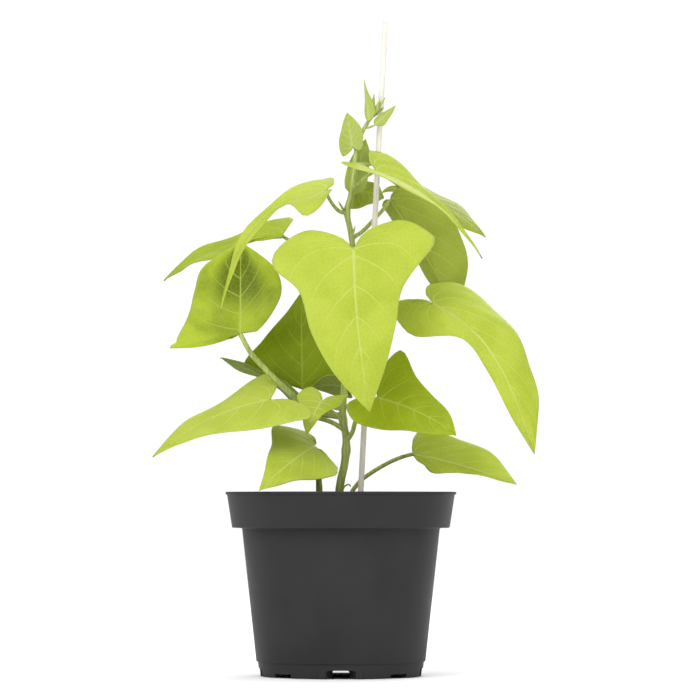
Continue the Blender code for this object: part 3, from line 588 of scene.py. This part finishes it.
@dataclass
class LeafBlade:
    """One blade: a fan of rows beside the midrib, bent into place, quilted between its veins and given a thickness.

    rays, rings and veins are counts for each half; fan is the share of the rays that leave from the stalk's end.
    """

    MAPS = ("VeinMap", "FlatMap", "SpreadMap")

    shape: BladeShape
    rays: int = 36
    rings: int = 16
    veins: int = 8
    fan: float = 0.35
    thickness: float = 0.00045

    def __post_init__(self) -> None:
        """Works out the blade's own directions and the flat margins of its halves."""
        self.base = Vector(self.shape.base)
        chord = Vector(self.shape.tip) - self.base
        self.length = chord.length
        self.along = chord.normalized()
        face = Vector(self.shape.face)
        self.up = (face - self.along * face.dot(self.along)).normalized()
        self.across = self.along.cross(self.up)
        self.margins = {1: self._margin(self.shape.right), -1: self._margin(self.shape.left)}

    def _margin(self, half: Half) -> list[Vector]:
        """A half blade's margin laid flat, as evenly spaced points from the stalk's end to the tip."""
        at_stalk, quarter, middle, late = half.widths
        shoulder = half.corner - (half.reach + half.corner) * 0.55
        knots = [(0.0, 0.0), (-half.reach * 0.62, half.lobe * 0.30), (-half.reach, half.lobe),
                 (shoulder, half.lobe + (at_stalk - half.lobe) * 0.80), (half.corner, at_stalk),
                 (0.25 * self.length, quarter), (0.5 * self.length, middle), (0.75 * self.length, late),
                 (self.length, 0.0)]
        curve = smooth_route([Vector((u, v, 0.0)) for u, v in knots], 16)
        gone = [0.0]
        for a, b in zip(curve, curve[1:]):
            gone.append(gone[-1] + (b - a).length)
        margin = []
        at = 0
        for ray in range(self.rays + 1):
            want = gone[-1] * ray / self.rays
            while at < len(curve) - 2 and gone[at + 1] < want:
                at += 1
            share = (want - gone[at]) / max(gone[at + 1] - gone[at], 1e-9)
            margin.append(curve[at].lerp(curve[at + 1], min(share, 1.0)))
        return margin

    def midrib(self, q: float) -> Vector:
        """The midrib's point at a share q of the length; it runs on straight behind the stalk's end."""
        if q < 0.0:
            return self.base + (self.midrib(1e-3) - self.base) * (q / 1e-3)
        bow = 4.0 * q * (1.0 - q) * (1.0 + self.shape.skew * (1.0 - 2.0 * q))
        return (self.base + self.along * self.length * q + self.up * self.shape.arch * bow
                + self.across * self.shape.sweep * bow)

    def frame_at(self, q: float) -> tuple[Vector, Vector]:
        """The midrib's way and the upper side's direction at a share q of the length."""
        ahead, behind = min(q + 1e-3, 1.0), q if 0.0 <= q < 1e-3 else q - 1e-3
        way = (self.midrib(ahead) - self.midrib(behind)).normalized()
        return way, (self.up - way * self.up.dot(way)).normalized()

    def place(self, u: float, v: float) -> Vector:
        """The place in space of a flat point, in metres; v is positive on the blade's right."""
        q = min(u / self.length, 1.0)
        way, up = self.frame_at(q)
        out = way.cross(up) * (1.0 if v >= 0.0 else -1.0)
        half = self.shape.right if v >= 0.0 else self.shape.left
        fold, reach = math.radians(half.fold), abs(v)
        bend = math.radians(half.curl) / max(half.widths[:3])
        if abs(bend) < 1e-6:
            run, rise = reach * math.cos(fold), reach * math.sin(fold)
        else:
            run = (math.sin(fold + bend * reach) - math.sin(fold)) / bend
            rise = (math.cos(fold) - math.cos(fold + bend * reach)) / bend
        return (self.midrib(q) + out * run + up * rise) * MM

    def flat(self, hand: int, ray: float, share: float) -> tuple[float, float]:
        """The flat point on a ray, which may lie between two rows, at a share of the way to the margin."""
        low = min(int(ray), self.rays - 1)
        edge = self.margins[hand][low].lerp(self.margins[hand][low + 1], ray - low)
        root = self.length * max(0.0, ray / self.rays - self.fan) / (1.0 - self.fan)
        return root + (edge.x - root) * share, hand * edge.y * share

    def lift(self, ray: float, share: float, spread: float) -> float:
        """How far the skin stands out of the smooth blade at a point, in millimetres."""
        vein = ray / self.rays * self.veins - 1.3 * share - 0.4 * share * share
        off = 2.0 * abs(vein - round(vein))
        room = min(spread, 9.0)
        puff = 0.055 * room * (1.0 - (1.0 - off) ** 2) * math.sin(math.pi * min(share * 1.02, 1.0)) ** 0.6
        groove = -0.10 * math.exp(-((share / 0.05) ** 2)) * (1.0 - ray / self.rays)
        ripple = self.shape.wave * share ** 3 * math.sin(self.shape.ripples * math.tau * ray / self.rays + 0.8)
        ends = min(1.0, 5.0 * (1.0 - ray / self.rays))
        return self.shape.puff * puff + groove + ripple * ends

    def build(self) -> bpy.types.Object:
        """Builds the blade with its midrib and its two finishes.

        Returns:
            The finished object, which stands for the CAD node of the same name.
        """
        deselect()
        bpy.ops.mesh.primitive_grid_add(x_subdivisions=2 * (self.rays - 1), y_subdivisions=self.rings, size=2.0)
        item = bpy.context.object
        mesh = item.data
        mesh.name = self.shape.name
        notes = []
        raised = []
        for vert in mesh.vertices:
            x, share = vert.co.x, 0.5 * (vert.co.y + 1.0)
            hand = 1 if x > 1e-6 else -1
            ray = 1.0 + round((self.rays - 1) * (1.0 - abs(x)))
            u, v = self.flat(hand, ray, share)
            near = self.flat(hand, max(ray - 0.5, 0.0), share)
            far = self.flat(hand, min(ray + 0.5, float(self.rays)), share)
            spread = math.dist(near, far) * self.rays / self.veins
            q = min(max(u / self.length, 0.0), 1.0)
            notes.append(((ray / self.rays * self.veins, share), (u, v), (spread, q)))
            raised.append(self.lift(ray, share, spread))
            vert.co = self.place(u, v)
        corners = [loop.vertex_index for loop in mesh.loops]
        for index, name in enumerate(self.MAPS):
            mesh.uv_layers.new(name=name)
            flat = [part for corner in corners for part in notes[corner][index]]
            mesh.uv_layers[name].data.foreach_set("uv", flat)
        mesh.update()
        normals = [vert.normal.copy() for vert in mesh.vertices]
        for vert, normal, height in zip(mesh.vertices, normals, raised):
            vert.co += normal * height * MM
        mesh.uv_layers.remove(mesh.uv_layers["UVMap"])
        activate(item)
        bpy.ops.object.mode_set(mode="EDIT")
        bpy.ops.mesh.select_all(action="SELECT")
        bpy.ops.mesh.remove_doubles(threshold=0.00002)
        bpy.ops.object.mode_set(mode="OBJECT")
        mesh.materials.append(UPPER[self.shape.tone].material())
        mesh.materials.append(UNDER[self.shape.tone].material())
        sheet = item.modifiers.new("thickness", "SOLIDIFY")
        sheet.thickness = self.thickness
        sheet.offset = 0.0
        sheet.material_offset = 1
        apply_modifiers(item)
        bpy.ops.object.shade_smooth()
        item = join(self.shape.name + "_blade", [item, self._rib()])
        kind = Tone.LIME if self.shape.tone in (Tone.FRESH, Tone.CUPPED) else self.shape.tone
        dress(item, "leaf_" + kind.value, self.shape.name)
        return item

    def _rib(self) -> bpy.types.Object:
        """The raised midrib under the blade."""
        steps = 24
        thick = 0.75 if self.length > 40 else 0.35
        route, radii = [], []
        for step in range(steps + 1):
            q = step / steps * 0.96
            _, up = self.frame_at(q)
            radius = thick * (1.0 - 0.85 * step / steps)
            route.append((self.midrib(q) - up * (radius + 0.02 + 0.10 * (1.0 - q))) * MM)
            radii.append(radius * MM)
        rib = rod("rib", route, radii, 2)
        for name in self.MAPS:
            rib.data.uv_layers.new(name=name)
            flat = [0.5 if name == "VeinMap" else 0.0, 0.0] * len(rib.data.loops)
            rib.data.uv_layers[name].data.foreach_set("uv", flat)
        rib.data.materials.append(UNDER[self.shape.tone].material())
        return rib


# Stems and stalks.


@dataclass(frozen=True)
class Stalk:
    """A stem or leaf stalk: its route from the root outwards and its radii at both ends, in millimetres."""

    route: tuple[tuple[float, float, float], ...]
    start: float
    end: float
    leaf: str = ""


@dataclass
class VineStem:
    """The main stem with every leaf stalk that grows from it, its side buds and the bud cluster at its end."""

    main: Stalk = Stalk(((-1, 0, 70), (-1, 0, 100), (0, 0, 110), (1.8, 0, 118), (2.9, 0, 127), (2.8, 0, 135),
                         (1.2, 0, 144), (1.2, 0, 152), (3, 0, 175), (6, 0, 205), (7, 0, 232), (6.6, 0, 243),
                         (5.2, 0, 252), (3.4, 0, 262), (5.4, 0, 271), (7, 0, 280), (8, 0, 292), (9.6, 0, 301),
                         (12.5, 0, 308), (16, 0, 314), (19.5, 0, 318)), 2.5, 1.0)
    forks: tuple[float, ...] = (127.0, 144.0, 262.0, 280.0)
    stalks: tuple[Stalk, ...] = (
        Stalk(((6.8, 0, 236), (7.4, -16, 236), (7.2, -30, 238.5), (7, -36.9, 239)), 1.5, 1.2, "leaf_front_heart"),
        Stalk(((5, 0, 194), (22, -3, 200), (42, -9, 206.5), (50.9, -12.9, 207.8)), 1.5, 1.1, "leaf_right_drooping"),
        Stalk(((6.8, 0, 275), (10.5, -4, 278), (15, -9, 281.5), (18.2, -12.8, 282.6)), 1.1, 0.8, "leaf_upper_right"),
        Stalk(((7.8, 0, 289), (16, 0.5, 289), (24.5, 2.2, 288.6), (29, 16, 285.5), (33, 38.6, 280.4)), 1.0, 0.8,
              "leaf_right_back"),
        Stalk(((6.2, 0, 247), (12, 5, 251), (18, 10, 257.5), (23.5, 12.4, 263.5), (27.5, 13.7, 269.3)), 1.3, 1.0,
              "leaf_right_shaded"),
        Stalk(((4.6, 0, 268), (6, 6, 269.5), (7.4, 11, 272.8), (8, 13.2, 275.1)), 1.0, 0.8, "leaf_behind_stem"),
        Stalk(((3.6, 0, 261), (-1, -4, 262), (-5, -8, 266), (-8, -11.2, 270.8)), 1.2, 0.9, "leaf_upper_left"),
        Stalk(((1.6, 0, 146), (-12, -0.6, 148), (-24, -2.6, 155.5), (-35, -5.4, 165), (-44, -6.8, 174),
               (-51, -6.8, 182), (-56.6, -6.6, 191.6)), 1.8, 1.4, "leaf_left_cupped"),
        Stalk(((6, 0, 222), (-6, 6, 230), (-20, 16, 241), (-32, 23.4, 249)), 1.3, 1.0, "leaf_far_left"),
        Stalk(((2.6, 0, 138), (-6, -3, 143), (-20, -6, 147), (-32, -10.5, 151), (-39, -14.9, 153.6)), 1.4, 1.1,
              "leaf_lower_left"),
        Stalk(((1.2, 0, 150), (-6, 9, 152), (-15, 18.6, 157), (-21.6, 23.9, 160.2)), 1.3, 1.0, "leaf_inner_dark"),
        Stalk(((1.4, 0, 147), (-8, 6, 148), (-18, 10.6, 150.5), (-23, 11.9, 152.4)), 1.2, 1.0, "leaf_edge_on"),
        Stalk(((1.6, 0, 143), (-4, -6, 148), (-9, -11.5, 151), (-10.6, -12.7, 152.8)), 1.1, 0.8,
              "leaf_small_centre"),
        Stalk(((1.6, 0, 158), (1.8, 4.4, 159.6), (1.8, 8.2, 160.8)), 1.0, 0.8, "leaf_small_behind"),
        Stalk(((2.9, 0, 132), (6.4, -3, 137), (8.6, -7, 144), (13.5, -13, 151), (19.5, -18.2, 155)), 1.4, 1.1,
              "leaf_lower_right"),
        Stalk(((8.6, 0, 297), (7.7, -0.8, 297.6), (7.0, -1.5, 298)), 0.7, 0.5, "shoot_leaf_left"),
        Stalk(((5.2, 0, 269.6), (5.6, 1.6, 270.6), (5.9, 2.9, 271.2)), 0.7, 0.5, "shoot_leaf_back"),
        Stalk(((14.8, 0, 311.8), (15.6, -1.5, 312.2), (16, -2.8, 312.6)), 0.7, 0.5, "shoot_leaf_tip"),
        Stalk(((13.4, 0, 309.6), (16.2, -0.9, 309.8), (18.2, -1.5, 310.2)), 0.7, 0.5, "shoot_leaf_side"),
    )
    low_shoot: Stalk = Stalk(((-11, -4, 70), (-12, -6, 98), (-12.4, -8, 110), (-13.4, -10, 120), (-14.8, -10.6, 127.6)),
                             2.2, 1.3, "leaf_over_rim")
    low_stalk: Stalk = Stalk(((4, 9, 70), (5, 9, 98), (9, 9.5, 107.5), (16, 9.5, 113.5), (26, 8, 119.5), (34, 6.6, 123),
                              (40, 5.6, 124.6)), 1.3, 1.1, "leaf_lowest_right")
    tendril: Stalk = Stalk(((-0.6, 0, 99), (0.6, -3.6, 103), (2, -4.4, 106.4), (4.4, -4.4, 107.6), (5.6, -4.2, 106.4)),
                           0.6, 0.4)
    buds: tuple[tuple[tuple[float, float, float], tuple[float, float, float], float], ...] = (
        ((6.6, -0.8, 275.0), (9.4, -2.6, 280.6), 0.9), ((6.8, -0.4, 276.0), (8.4, -2.4, 281.6), 0.8),
        ((2.0, -0.8, 262.0), (-1.6, -2.2, 268.0), 0.8), ((6.0, -0.8, 247.0), (8.2, -2.4, 254.0), 0.9),
        ((17.6, -0.6, 316.0), (18.8, -1.6, 329.0), 1.5), ((18.4, -0.4, 317.0), (22.2, -2.0, 325.5), 1.4),
        ((18.6, -0.2, 317.0), (25.2, -1.0, 327.0), 1.3), ((18.4, 0.2, 316.4), (24.6, 1.4, 321.6), 1.2),
    )
    bases: dict[str, Vector] = field(default_factory=dict)

    def build(self) -> None:
        """Builds the stem with its stalks, and the two low shoots."""
        self.bases = {shape.name: Vector(shape.base) for shape in BLADES}
        green = StemFinish().material()
        parts = [self._tube("stem", self.main, self.forks)]
        parts += [self._tube(stalk.leaf, stalk) for stalk in self.stalks]
        parts.append(self._tube("tendril", self.tendril))
        parts += [self._bud(*bud) for bud in self.buds]
        stem = join("vine_stem_grown", parts)
        shoot = self._tube("low_shoot_grown", self.low_shoot)
        stalk = self._tube("low_stalk_grown", self.low_stalk)
        for item, node in ((stem, "vine_stem"), (shoot, "low_shoot"), (stalk, "low_stalk")):
            item.data.materials.clear()
            item.data.materials.append(green)
            dress(item, "stem", node)

    def _tube(self, name: str, stalk: Stalk, forks: tuple[float, ...] = ()) -> bpy.types.Object:
        """A stalk as a round rod that swells a little at the forks and reaches its blade.

        Args:
            name: the rod's name.
            stalk: its route and radii.
            forks: the heights at which it swells, in millimetres.

        Returns:
            The rod.
        """
        points = [Vector(point) for point in stalk.route]
        if stalk.leaf:
            points[-1] = points[-1].lerp(self.bases[stalk.leaf], 0.72)
        route = smooth_route(points, 8)
        radii = []
        for index, point in enumerate(route):
            share = index / (len(route) - 1)
            swell = sum(math.exp(-(((point.z - z) / 3.0) ** 2)) for z in forks)
            foot = 0.45 * math.exp(-((share / 0.05) ** 2)) if stalk.leaf else 0.0
            uneven = 0.05 * noise.noise(point * 0.35)
            radii.append(MM * (stalk.start + (stalk.end - stalk.start) * share + 0.5 * min(swell, 1.0) + foot + uneven))
        return rod(name, [point * MM for point in route], radii)

    def _bud(self, foot: tuple[float, float, float], point: tuple[float, float, float],
             radius: float) -> bpy.types.Object:
        """A closed pointed bud from its foot to its point."""
        a, b = Vector(foot), Vector(point)
        shares = [i / 10 for i in range(11)]
        radii = [radius * MM * max(0.08, (math.sin(math.pi * min(0.5 + 0.5 * s, 1.0)) ** 0.8) * (0.8 + 0.5 * s))
                 for s in shares]
        return rod("bud", [a.lerp(b, s) * MM for s in shares], radii, 3)


# Pot, soil and stake.


@dataclass
class NurseryPot:
    """The thin moulded pot: rim band, ledge, step above the foot ring and drain notches, in metres."""

    height: float = 0.1035
    rim_radius: float = 0.0652
    lip: float = 0.0014
    band_top: float = 0.0642
    band_bottom: float = 0.0614
    band_z: float = 0.0832
    body_top: float = 0.0558
    step_z: float = 0.0085
    step_radius: float = 0.0477
    step: float = 0.0009
    foot: float = 0.0456
    wall: float = 0.0012
    floor_z: float = 0.0050
    notch: tuple[float, float] = (0.0215, 0.0046)
    small_notch: tuple[float, float] = (0.0128, 0.0022)
    channel: tuple[float, float] = (0.0090, 0.0080)
    sides: int = 128

    def profile(self) -> list[tuple[float, float]]:
        """The wall's outline as (radius, height) points, from the middle of the inner floor round to the outer one."""
        w = self.wall
        return [
            (self.step_radius - self.step - 2.0 * w, self.floor_z + w), (self.step_radius - w - 0.0005, self.step_z),
            (self.body_top - w, self.band_z + 0.5 * w), (self.body_top - 0.4 * w, self.band_z + w),
            (self.band_bottom - w - 0.0005, self.band_z + w), (self.band_bottom - w, self.band_z + w + 0.0005),
            (self.band_top - w, self.height - 0.0005), (self.band_top - w + 0.0005, self.height),
            (self.rim_radius - 0.0005, self.height), (self.rim_radius - 0.0001, self.height - 0.0002),
            (self.rim_radius, self.height - 0.0005), (self.rim_radius - 0.0001, self.height - self.lip),
            (self.band_top + 0.0002, self.height - self.lip - 0.0003), (self.band_top, self.height - self.lip - 0.0008),
            (self.band_bottom + 0.0001, self.band_z + 0.0006), (self.band_bottom - 0.0001, self.band_z + 0.0002),
            (self.band_bottom - 0.0005, self.band_z), (self.body_top + 0.0006, self.band_z - 0.0001),
            (self.body_top, self.band_z - 0.0006), (self.step_radius, self.step_z),
            (self.step_radius - 0.0003, self.step_z - 0.0004), (self.step_radius - self.step, self.step_z - 0.0006),
            (self.foot + 0.0003, 0.0006), (self.foot + 0.0001, 0.0002), (self.foot - 0.0003, 0.0),
            (self.foot - w, 0.0), (self.foot - w, self.floor_z),
        ]

    def build(self) -> None:
        """Turns the wall, adds the drain channels, cuts the notches and dresses the pot."""
        shell = self._turned("nursery_pot", self.profile())
        inside = self.foot - 0.5 * self.wall - self.channel[1]
        for index in range(8):
            turn = index * math.pi / 4.0
            if index % 2 == 0:
                rib = self._wedge(self.channel[0] + 4.0 * self.wall, self.notch[0] + 2.0 * self.wall, 0.0002,
                                  self.floor_z + 0.5 * self.wall, inside, self.channel[1], turn)
                self._fuse(shell, rib, "UNION")
        for index in range(8):
            turn = index * math.pi / 4.0
            if index % 2 == 0:
                cut = self._wedge(self.channel[0], self.notch[0], -0.001, self.notch[1], inside - 0.0005,
                                  self.channel[1] + 0.006, turn, True)
            else:
                cut = self._wedge(self.small_notch[0], self.small_notch[0], -0.001, self.small_notch[1],
                                  self.foot - 0.005, 0.010, turn)
            self._fuse(shell, cut, "DIFFERENCE")
        activate(shell)
        bpy.ops.object.shade_smooth_by_angle(angle=math.radians(40.0))
        shell.data.materials.append(PotFinish().material())
        dress(shell, "pot", "pot")

    def _turned(self, name: str, outline: list[tuple[float, float]]) -> bpy.types.Object:
        """A ring pulled up and down along an outline and closed at both ends.

        Args:
            name: the object's name.
            outline: (radius, height) points.

        Returns:
            The turned object.
        """
        deselect()
        radius, height = outline[0]
        bpy.ops.mesh.primitive_circle_add(vertices=self.sides, radius=radius, location=(0.0, 0.0, height),
                                          fill_type="NGON")
        item = bpy.context.object
        item.name = name
        settle(item)
        bpy.ops.object.mode_set(mode="EDIT")
        bpy.ops.mesh.select_mode(type="EDGE")
        bpy.ops.mesh.select_all(action="SELECT")
        for (r0, z0), (r1, z1) in zip(outline, outline[1:]):
            bpy.ops.mesh.extrude_edges_move(TRANSFORM_OT_translate={"value": (0.0, 0.0, z1 - z0)})
            bpy.ops.transform.resize(value=(r1 / r0, r1 / r0, 1.0), center_override=(0.0, 0.0, z1))
        bpy.ops.mesh.edge_face_add()
        bpy.ops.mesh.select_all(action="SELECT")
        bpy.ops.mesh.normals_make_consistent(inside=False)
        bpy.ops.object.mode_set(mode="OBJECT")
        return item

    def _wedge(self, near: float, far: float, low: float, high: float, start: float, length: float, turn: float,
               flared: bool = False) -> bpy.types.Object:
        """A block that runs outwards from the pot's axis and widens from near to far.

        Args:
            near: its width at its inner end.
            far: its width at its outer end.
            low: its underside's height.
            high: its top's height.
            start: how far from the axis it starts.
            length: how far it runs outwards.
            turn: its angle about the axis, from the front.
            flared: whether its top corners are rounded.

        Returns:
            The block.
        """
        deselect()
        bpy.ops.mesh.primitive_cube_add(size=1.0, location=(0.0, -(start + 0.5 * length), 0.5 * (low + high)),
                                        scale=(1.0, length, high - low))
        item = bpy.context.object
        settle(item)
        for vert in item.data.vertices:
            vert.co.x *= far if vert.co.y < -(start + 0.5 * length) else near
        if flared:
            bpy.ops.object.mode_set(mode="EDIT")
            bpy.ops.mesh.select_all(action="DESELECT")
            bpy.ops.object.mode_set(mode="OBJECT")
            for edge in item.data.edges:
                a, b = (item.data.vertices[i].co for i in edge.vertices)
                edge.select = a.z > high - 1e-5 and b.z > high - 1e-5 and abs(a.y - b.y) > 0.5 * length
            bpy.ops.object.mode_set(mode="EDIT")
            bpy.ops.mesh.select_mode(type="EDGE")
            bpy.ops.mesh.bevel(offset=0.0016, segments=5, profile=0.5)
            bpy.ops.object.mode_set(mode="OBJECT")
        item.rotation_euler.z = turn
        settle(item)
        return item

    @staticmethod
    def _fuse(shell: bpy.types.Object, tool: bpy.types.Object, operation: str) -> None:
        """Adds a tool to the shell or cuts it away, and removes the tool."""
        change = shell.modifiers.new("change", "BOOLEAN")
        change.operation = operation
        change.object = tool
        apply_modifiers(shell)
        bpy.data.objects.remove(tool)


@dataclass
class Compost:
    """The soil in the pot, with a crumbly top and loose crumbs on it, in metres."""

    top: float = 0.0905
    bump: float = 0.0012
    top_radius: float = 0.0607
    ledge: tuple[float, float] = (0.0599, 0.0847)
    body: tuple[tuple[float, float], ...] = ((0.0541, 0.0847), (0.0541, 0.0832), (0.0456, 0.0090), (0.0434, 0.0065))
    rings: int = 30
    sides: int = 96

    def height(self, x: float, y: float) -> float:
        """The top's height above its mean level at a point."""
        a, b = x / MM, y / MM
        wide = math.sin(0.31 * a + 1.3) * math.cos(0.27 * b - 0.4) + 0.6 * math.sin(0.71 * a - 0.53 * b)
        edge = min(1.0, max(0.0, (self.top_radius - math.hypot(x, y)) / 0.012))
        fine = noise.fractal(Vector((a, b, 3.0)) * 0.35, 1.0, 2.1, 4)
        return (self.bump * wide * 0.8 + 0.0007 * fine) * edge

    def build(self) -> None:
        """Builds the body, its rough top and the crumbs."""
        deselect()
        bpy.ops.mesh.primitive_circle_add(vertices=self.sides, radius=self.top_radius, location=(0.0, 0.0, self.top),
                                          fill_type="NGON")
        item = bpy.context.object
        settle(item)
        bpy.ops.object.mode_set(mode="EDIT")
        bpy.ops.mesh.select_mode(type="EDGE")
        bpy.ops.mesh.select_all(action="SELECT")
        radius, height = self.top_radius, self.top
        for r1, z1 in (self.ledge, *self.body):
            bpy.ops.mesh.extrude_edges_move(TRANSFORM_OT_translate={"value": (0.0, 0.0, z1 - height)})
            bpy.ops.transform.resize(value=(r1 / radius, r1 / radius, 1.0), center_override=(0.0, 0.0, z1))
            radius, height = r1, z1
        bpy.ops.mesh.edge_face_add()
        bpy.ops.mesh.select_mode(type="FACE")
        bpy.ops.mesh.select_all(action="DESELECT")
        bpy.ops.object.mode_set(mode="OBJECT")
        for face in item.data.polygons:
            face.select = face.center.z > self.top - 1e-4
        bpy.ops.object.mode_set(mode="EDIT")
        for ring in range(self.rings - 1):
            share = (self.rings - 1 - ring) / (self.rings - ring)
            bpy.ops.mesh.extrude_region_move(TRANSFORM_OT_translate={"value": (0.0, 0.0, 0.0)})
            bpy.ops.transform.resize(value=(share, share, 1.0), center_override=(0.0, 0.0, self.top))
        bpy.ops.mesh.select_all(action="SELECT")
        bpy.ops.mesh.normals_make_consistent(inside=False)
        bpy.ops.object.mode_set(mode="OBJECT")
        for vert in item.data.vertices:
            if vert.co.z > self.top - 1e-4:
                vert.co.z += self.height(vert.co.x, vert.co.y)
        bpy.ops.object.shade_smooth_by_angle(angle=math.radians(50.0))
        item = join("compost", [item, *self._crumbs()])
        item.data.materials.append(SoilFinish().material())
        dress(item, "soil", "soil")

    def _crumbs(self) -> list[bpy.types.Object]:
        """Loose crumbs half sunk in the top, spread by a fixed rule."""
        crumbs = []
        for index in range(110):
            turn = index * 2.39996
            radius = 0.0575 * math.sqrt((index + 0.5) / 110)
            x, y = radius * math.cos(turn), radius * math.sin(turn)
            size = 0.0006 + 0.0009 * (0.5 + 0.5 * noise.noise(Vector((x, y, 0.5)) * 700.0))
            deselect()
            bpy.ops.mesh.primitive_ico_sphere_add(subdivisions=2, radius=size,
                                                  location=(x, y, self.top + self.height(x, y) + 0.1 * size))
            crumb = bpy.context.object
            for vert in crumb.data.vertices:
                vert.co *= 1.0 + 0.45 * noise.noise(vert.co * 900.0 + Vector((index, 0.0, 0.0)))
            settle(crumb)
            crumbs.append(crumb)
        return crumbs


@dataclass
class BambooStake:
    """The thin split-bamboo stick, in metres."""

    foot: tuple[float, float, float] = (0.0068, 0.005, 0.020)
    top: tuple[float, float, float] = (0.0252, 0.005, 0.3710)
    radius: float = 0.00168

    def build(self) -> None:
        """Builds the stick, slightly uneven along its length."""
        a, b = Vector(self.foot), Vector(self.top)
        route, radii = [], []
        for step in range(61):
            share = step / 60
            route.append(a.lerp(b, share))
            worn = 0.90 if step in (0, 60) else 1.0
            radii.append(self.radius * worn * (0.985 + 0.01 * noise.noise(Vector((0.0, 0.0, share * 9.0)))))
        stick = rod("bamboo_stake", route, radii, 5)
        stick.data.materials.append(StakeFinish().material())
        dress(stick, "stake", "stake")


# Stage.


@dataclass
class Studio:
    """The pale floor, the soft studio light and the camera at the photograph's viewpoint."""

    lens: float = 201.4
    eye: tuple[float, float, float] = (0.004, -2.2, 0.096)
    tilt: float = 2.31
    surround: float = 1.05
    sky: float = 0.40
    flags: float = 0.90

    def build(self) -> None:
        """Builds the floor, the light and the camera."""
        self._floor()
        self._light()
        self._camera()

    def _floor(self) -> None:
        """A wide pale floor."""
        deselect()
        bpy.ops.mesh.primitive_plane_add(size=60.0, location=(0.0, 0.0, -0.0002))
        floor = bpy.context.object
        floor.name = "studio_floor"
        pale = bpy.data.materials.new("pale floor")
        pale.use_nodes = True
        skin = pale.node_tree.nodes["Principled BSDF"]
        skin.inputs["Base Color"].default_value = (0.88, 0.88, 0.88, 1.0)
        skin.inputs["Roughness"].default_value = 0.9
        skin.inputs["Specular IOR Level"].default_value = 0.1
        floor.data.materials.append(pale)

    def _light(self) -> None:
        """A white surround, dim low at both sides, and a large soft light from the upper front left."""
        world = bpy.data.worlds.new("studio surround")
        world.use_nodes = True
        nodes = Nodes(world.node_tree)
        way = nodes.add("ShaderNodeSeparateXYZ", {0: nodes.add("ShaderNodeTexCoord").outputs["Generated"]})
        high = nodes.ramp(way.outputs["Z"], 0.15, 0.95)
        aside = nodes.ramp(nodes.math("ABSOLUTE", way.outputs["X"]), 0.30, 0.90)
        dim = nodes.math("MULTIPLY", nodes.math("MULTIPLY", aside, nodes.math("SUBTRACT", 1.0, high)), self.flags)
        power = nodes.math("ADD", nodes.math("MULTIPLY", high, self.sky), self.surround)
        air = world.node_tree.nodes["Background"]
        air.inputs["Color"].default_value = (1.0, 1.0, 1.0, 1.0)
        world.node_tree.links.new(nodes.math("SUBTRACT", power, dim), air.inputs["Strength"])
        bpy.context.scene.world = world
        for name, place, size, power in (
            ("key_light", (-0.9, -1.5, 1.5), 1.3, 18.0), ("fill_light", (1.3, -1.3, 0.8), 1.2, 4.0),
            ("rim_light", (0.6, 1.4, 1.3), 1.0, 10.0),
        ):
            lamp = bpy.data.lights.new(name, "AREA")
            lamp.shape = "SQUARE"
            lamp.size = size
            lamp.energy = power
            item = bpy.data.objects.new(name, lamp)
            item.location = place
            item.rotation_euler = (Vector((0.0, 0.0, 0.18)) - Vector(place)).to_track_quat("-Z", "Y").to_euler()
            bpy.context.scene.collection.objects.link(item)
        bpy.context.scene.view_settings.view_transform = "Standard"

    def _camera(self) -> None:
        """The camera, level with the pot's rim and tilted up a little."""
        view = bpy.data.cameras.new("photo_camera")
        view.lens = self.lens
        view.sensor_width = 36.0
        view.clip_end = 100.0
        item = bpy.data.objects.new("photo_camera", view)
        item.location = self.eye
        item.rotation_euler = (math.radians(90.0 + self.tilt), 0.0, 0.0)
        bpy.context.scene.collection.objects.link(item)
        bpy.context.scene.camera = item


def main() -> None:
    """Builds the sub-assemblies in order and reports each piece."""
    logging.basicConfig(level=logging.INFO, format="%(name)s: %(message)s")
    NurseryPot().build()
    Compost().build()
    BambooStake().build()
    VineStem().build()
    for shape in BLADES:
        LeafBlade(shape).build()
    Studio().build()
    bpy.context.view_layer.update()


if __name__ == "__main__":
    main()
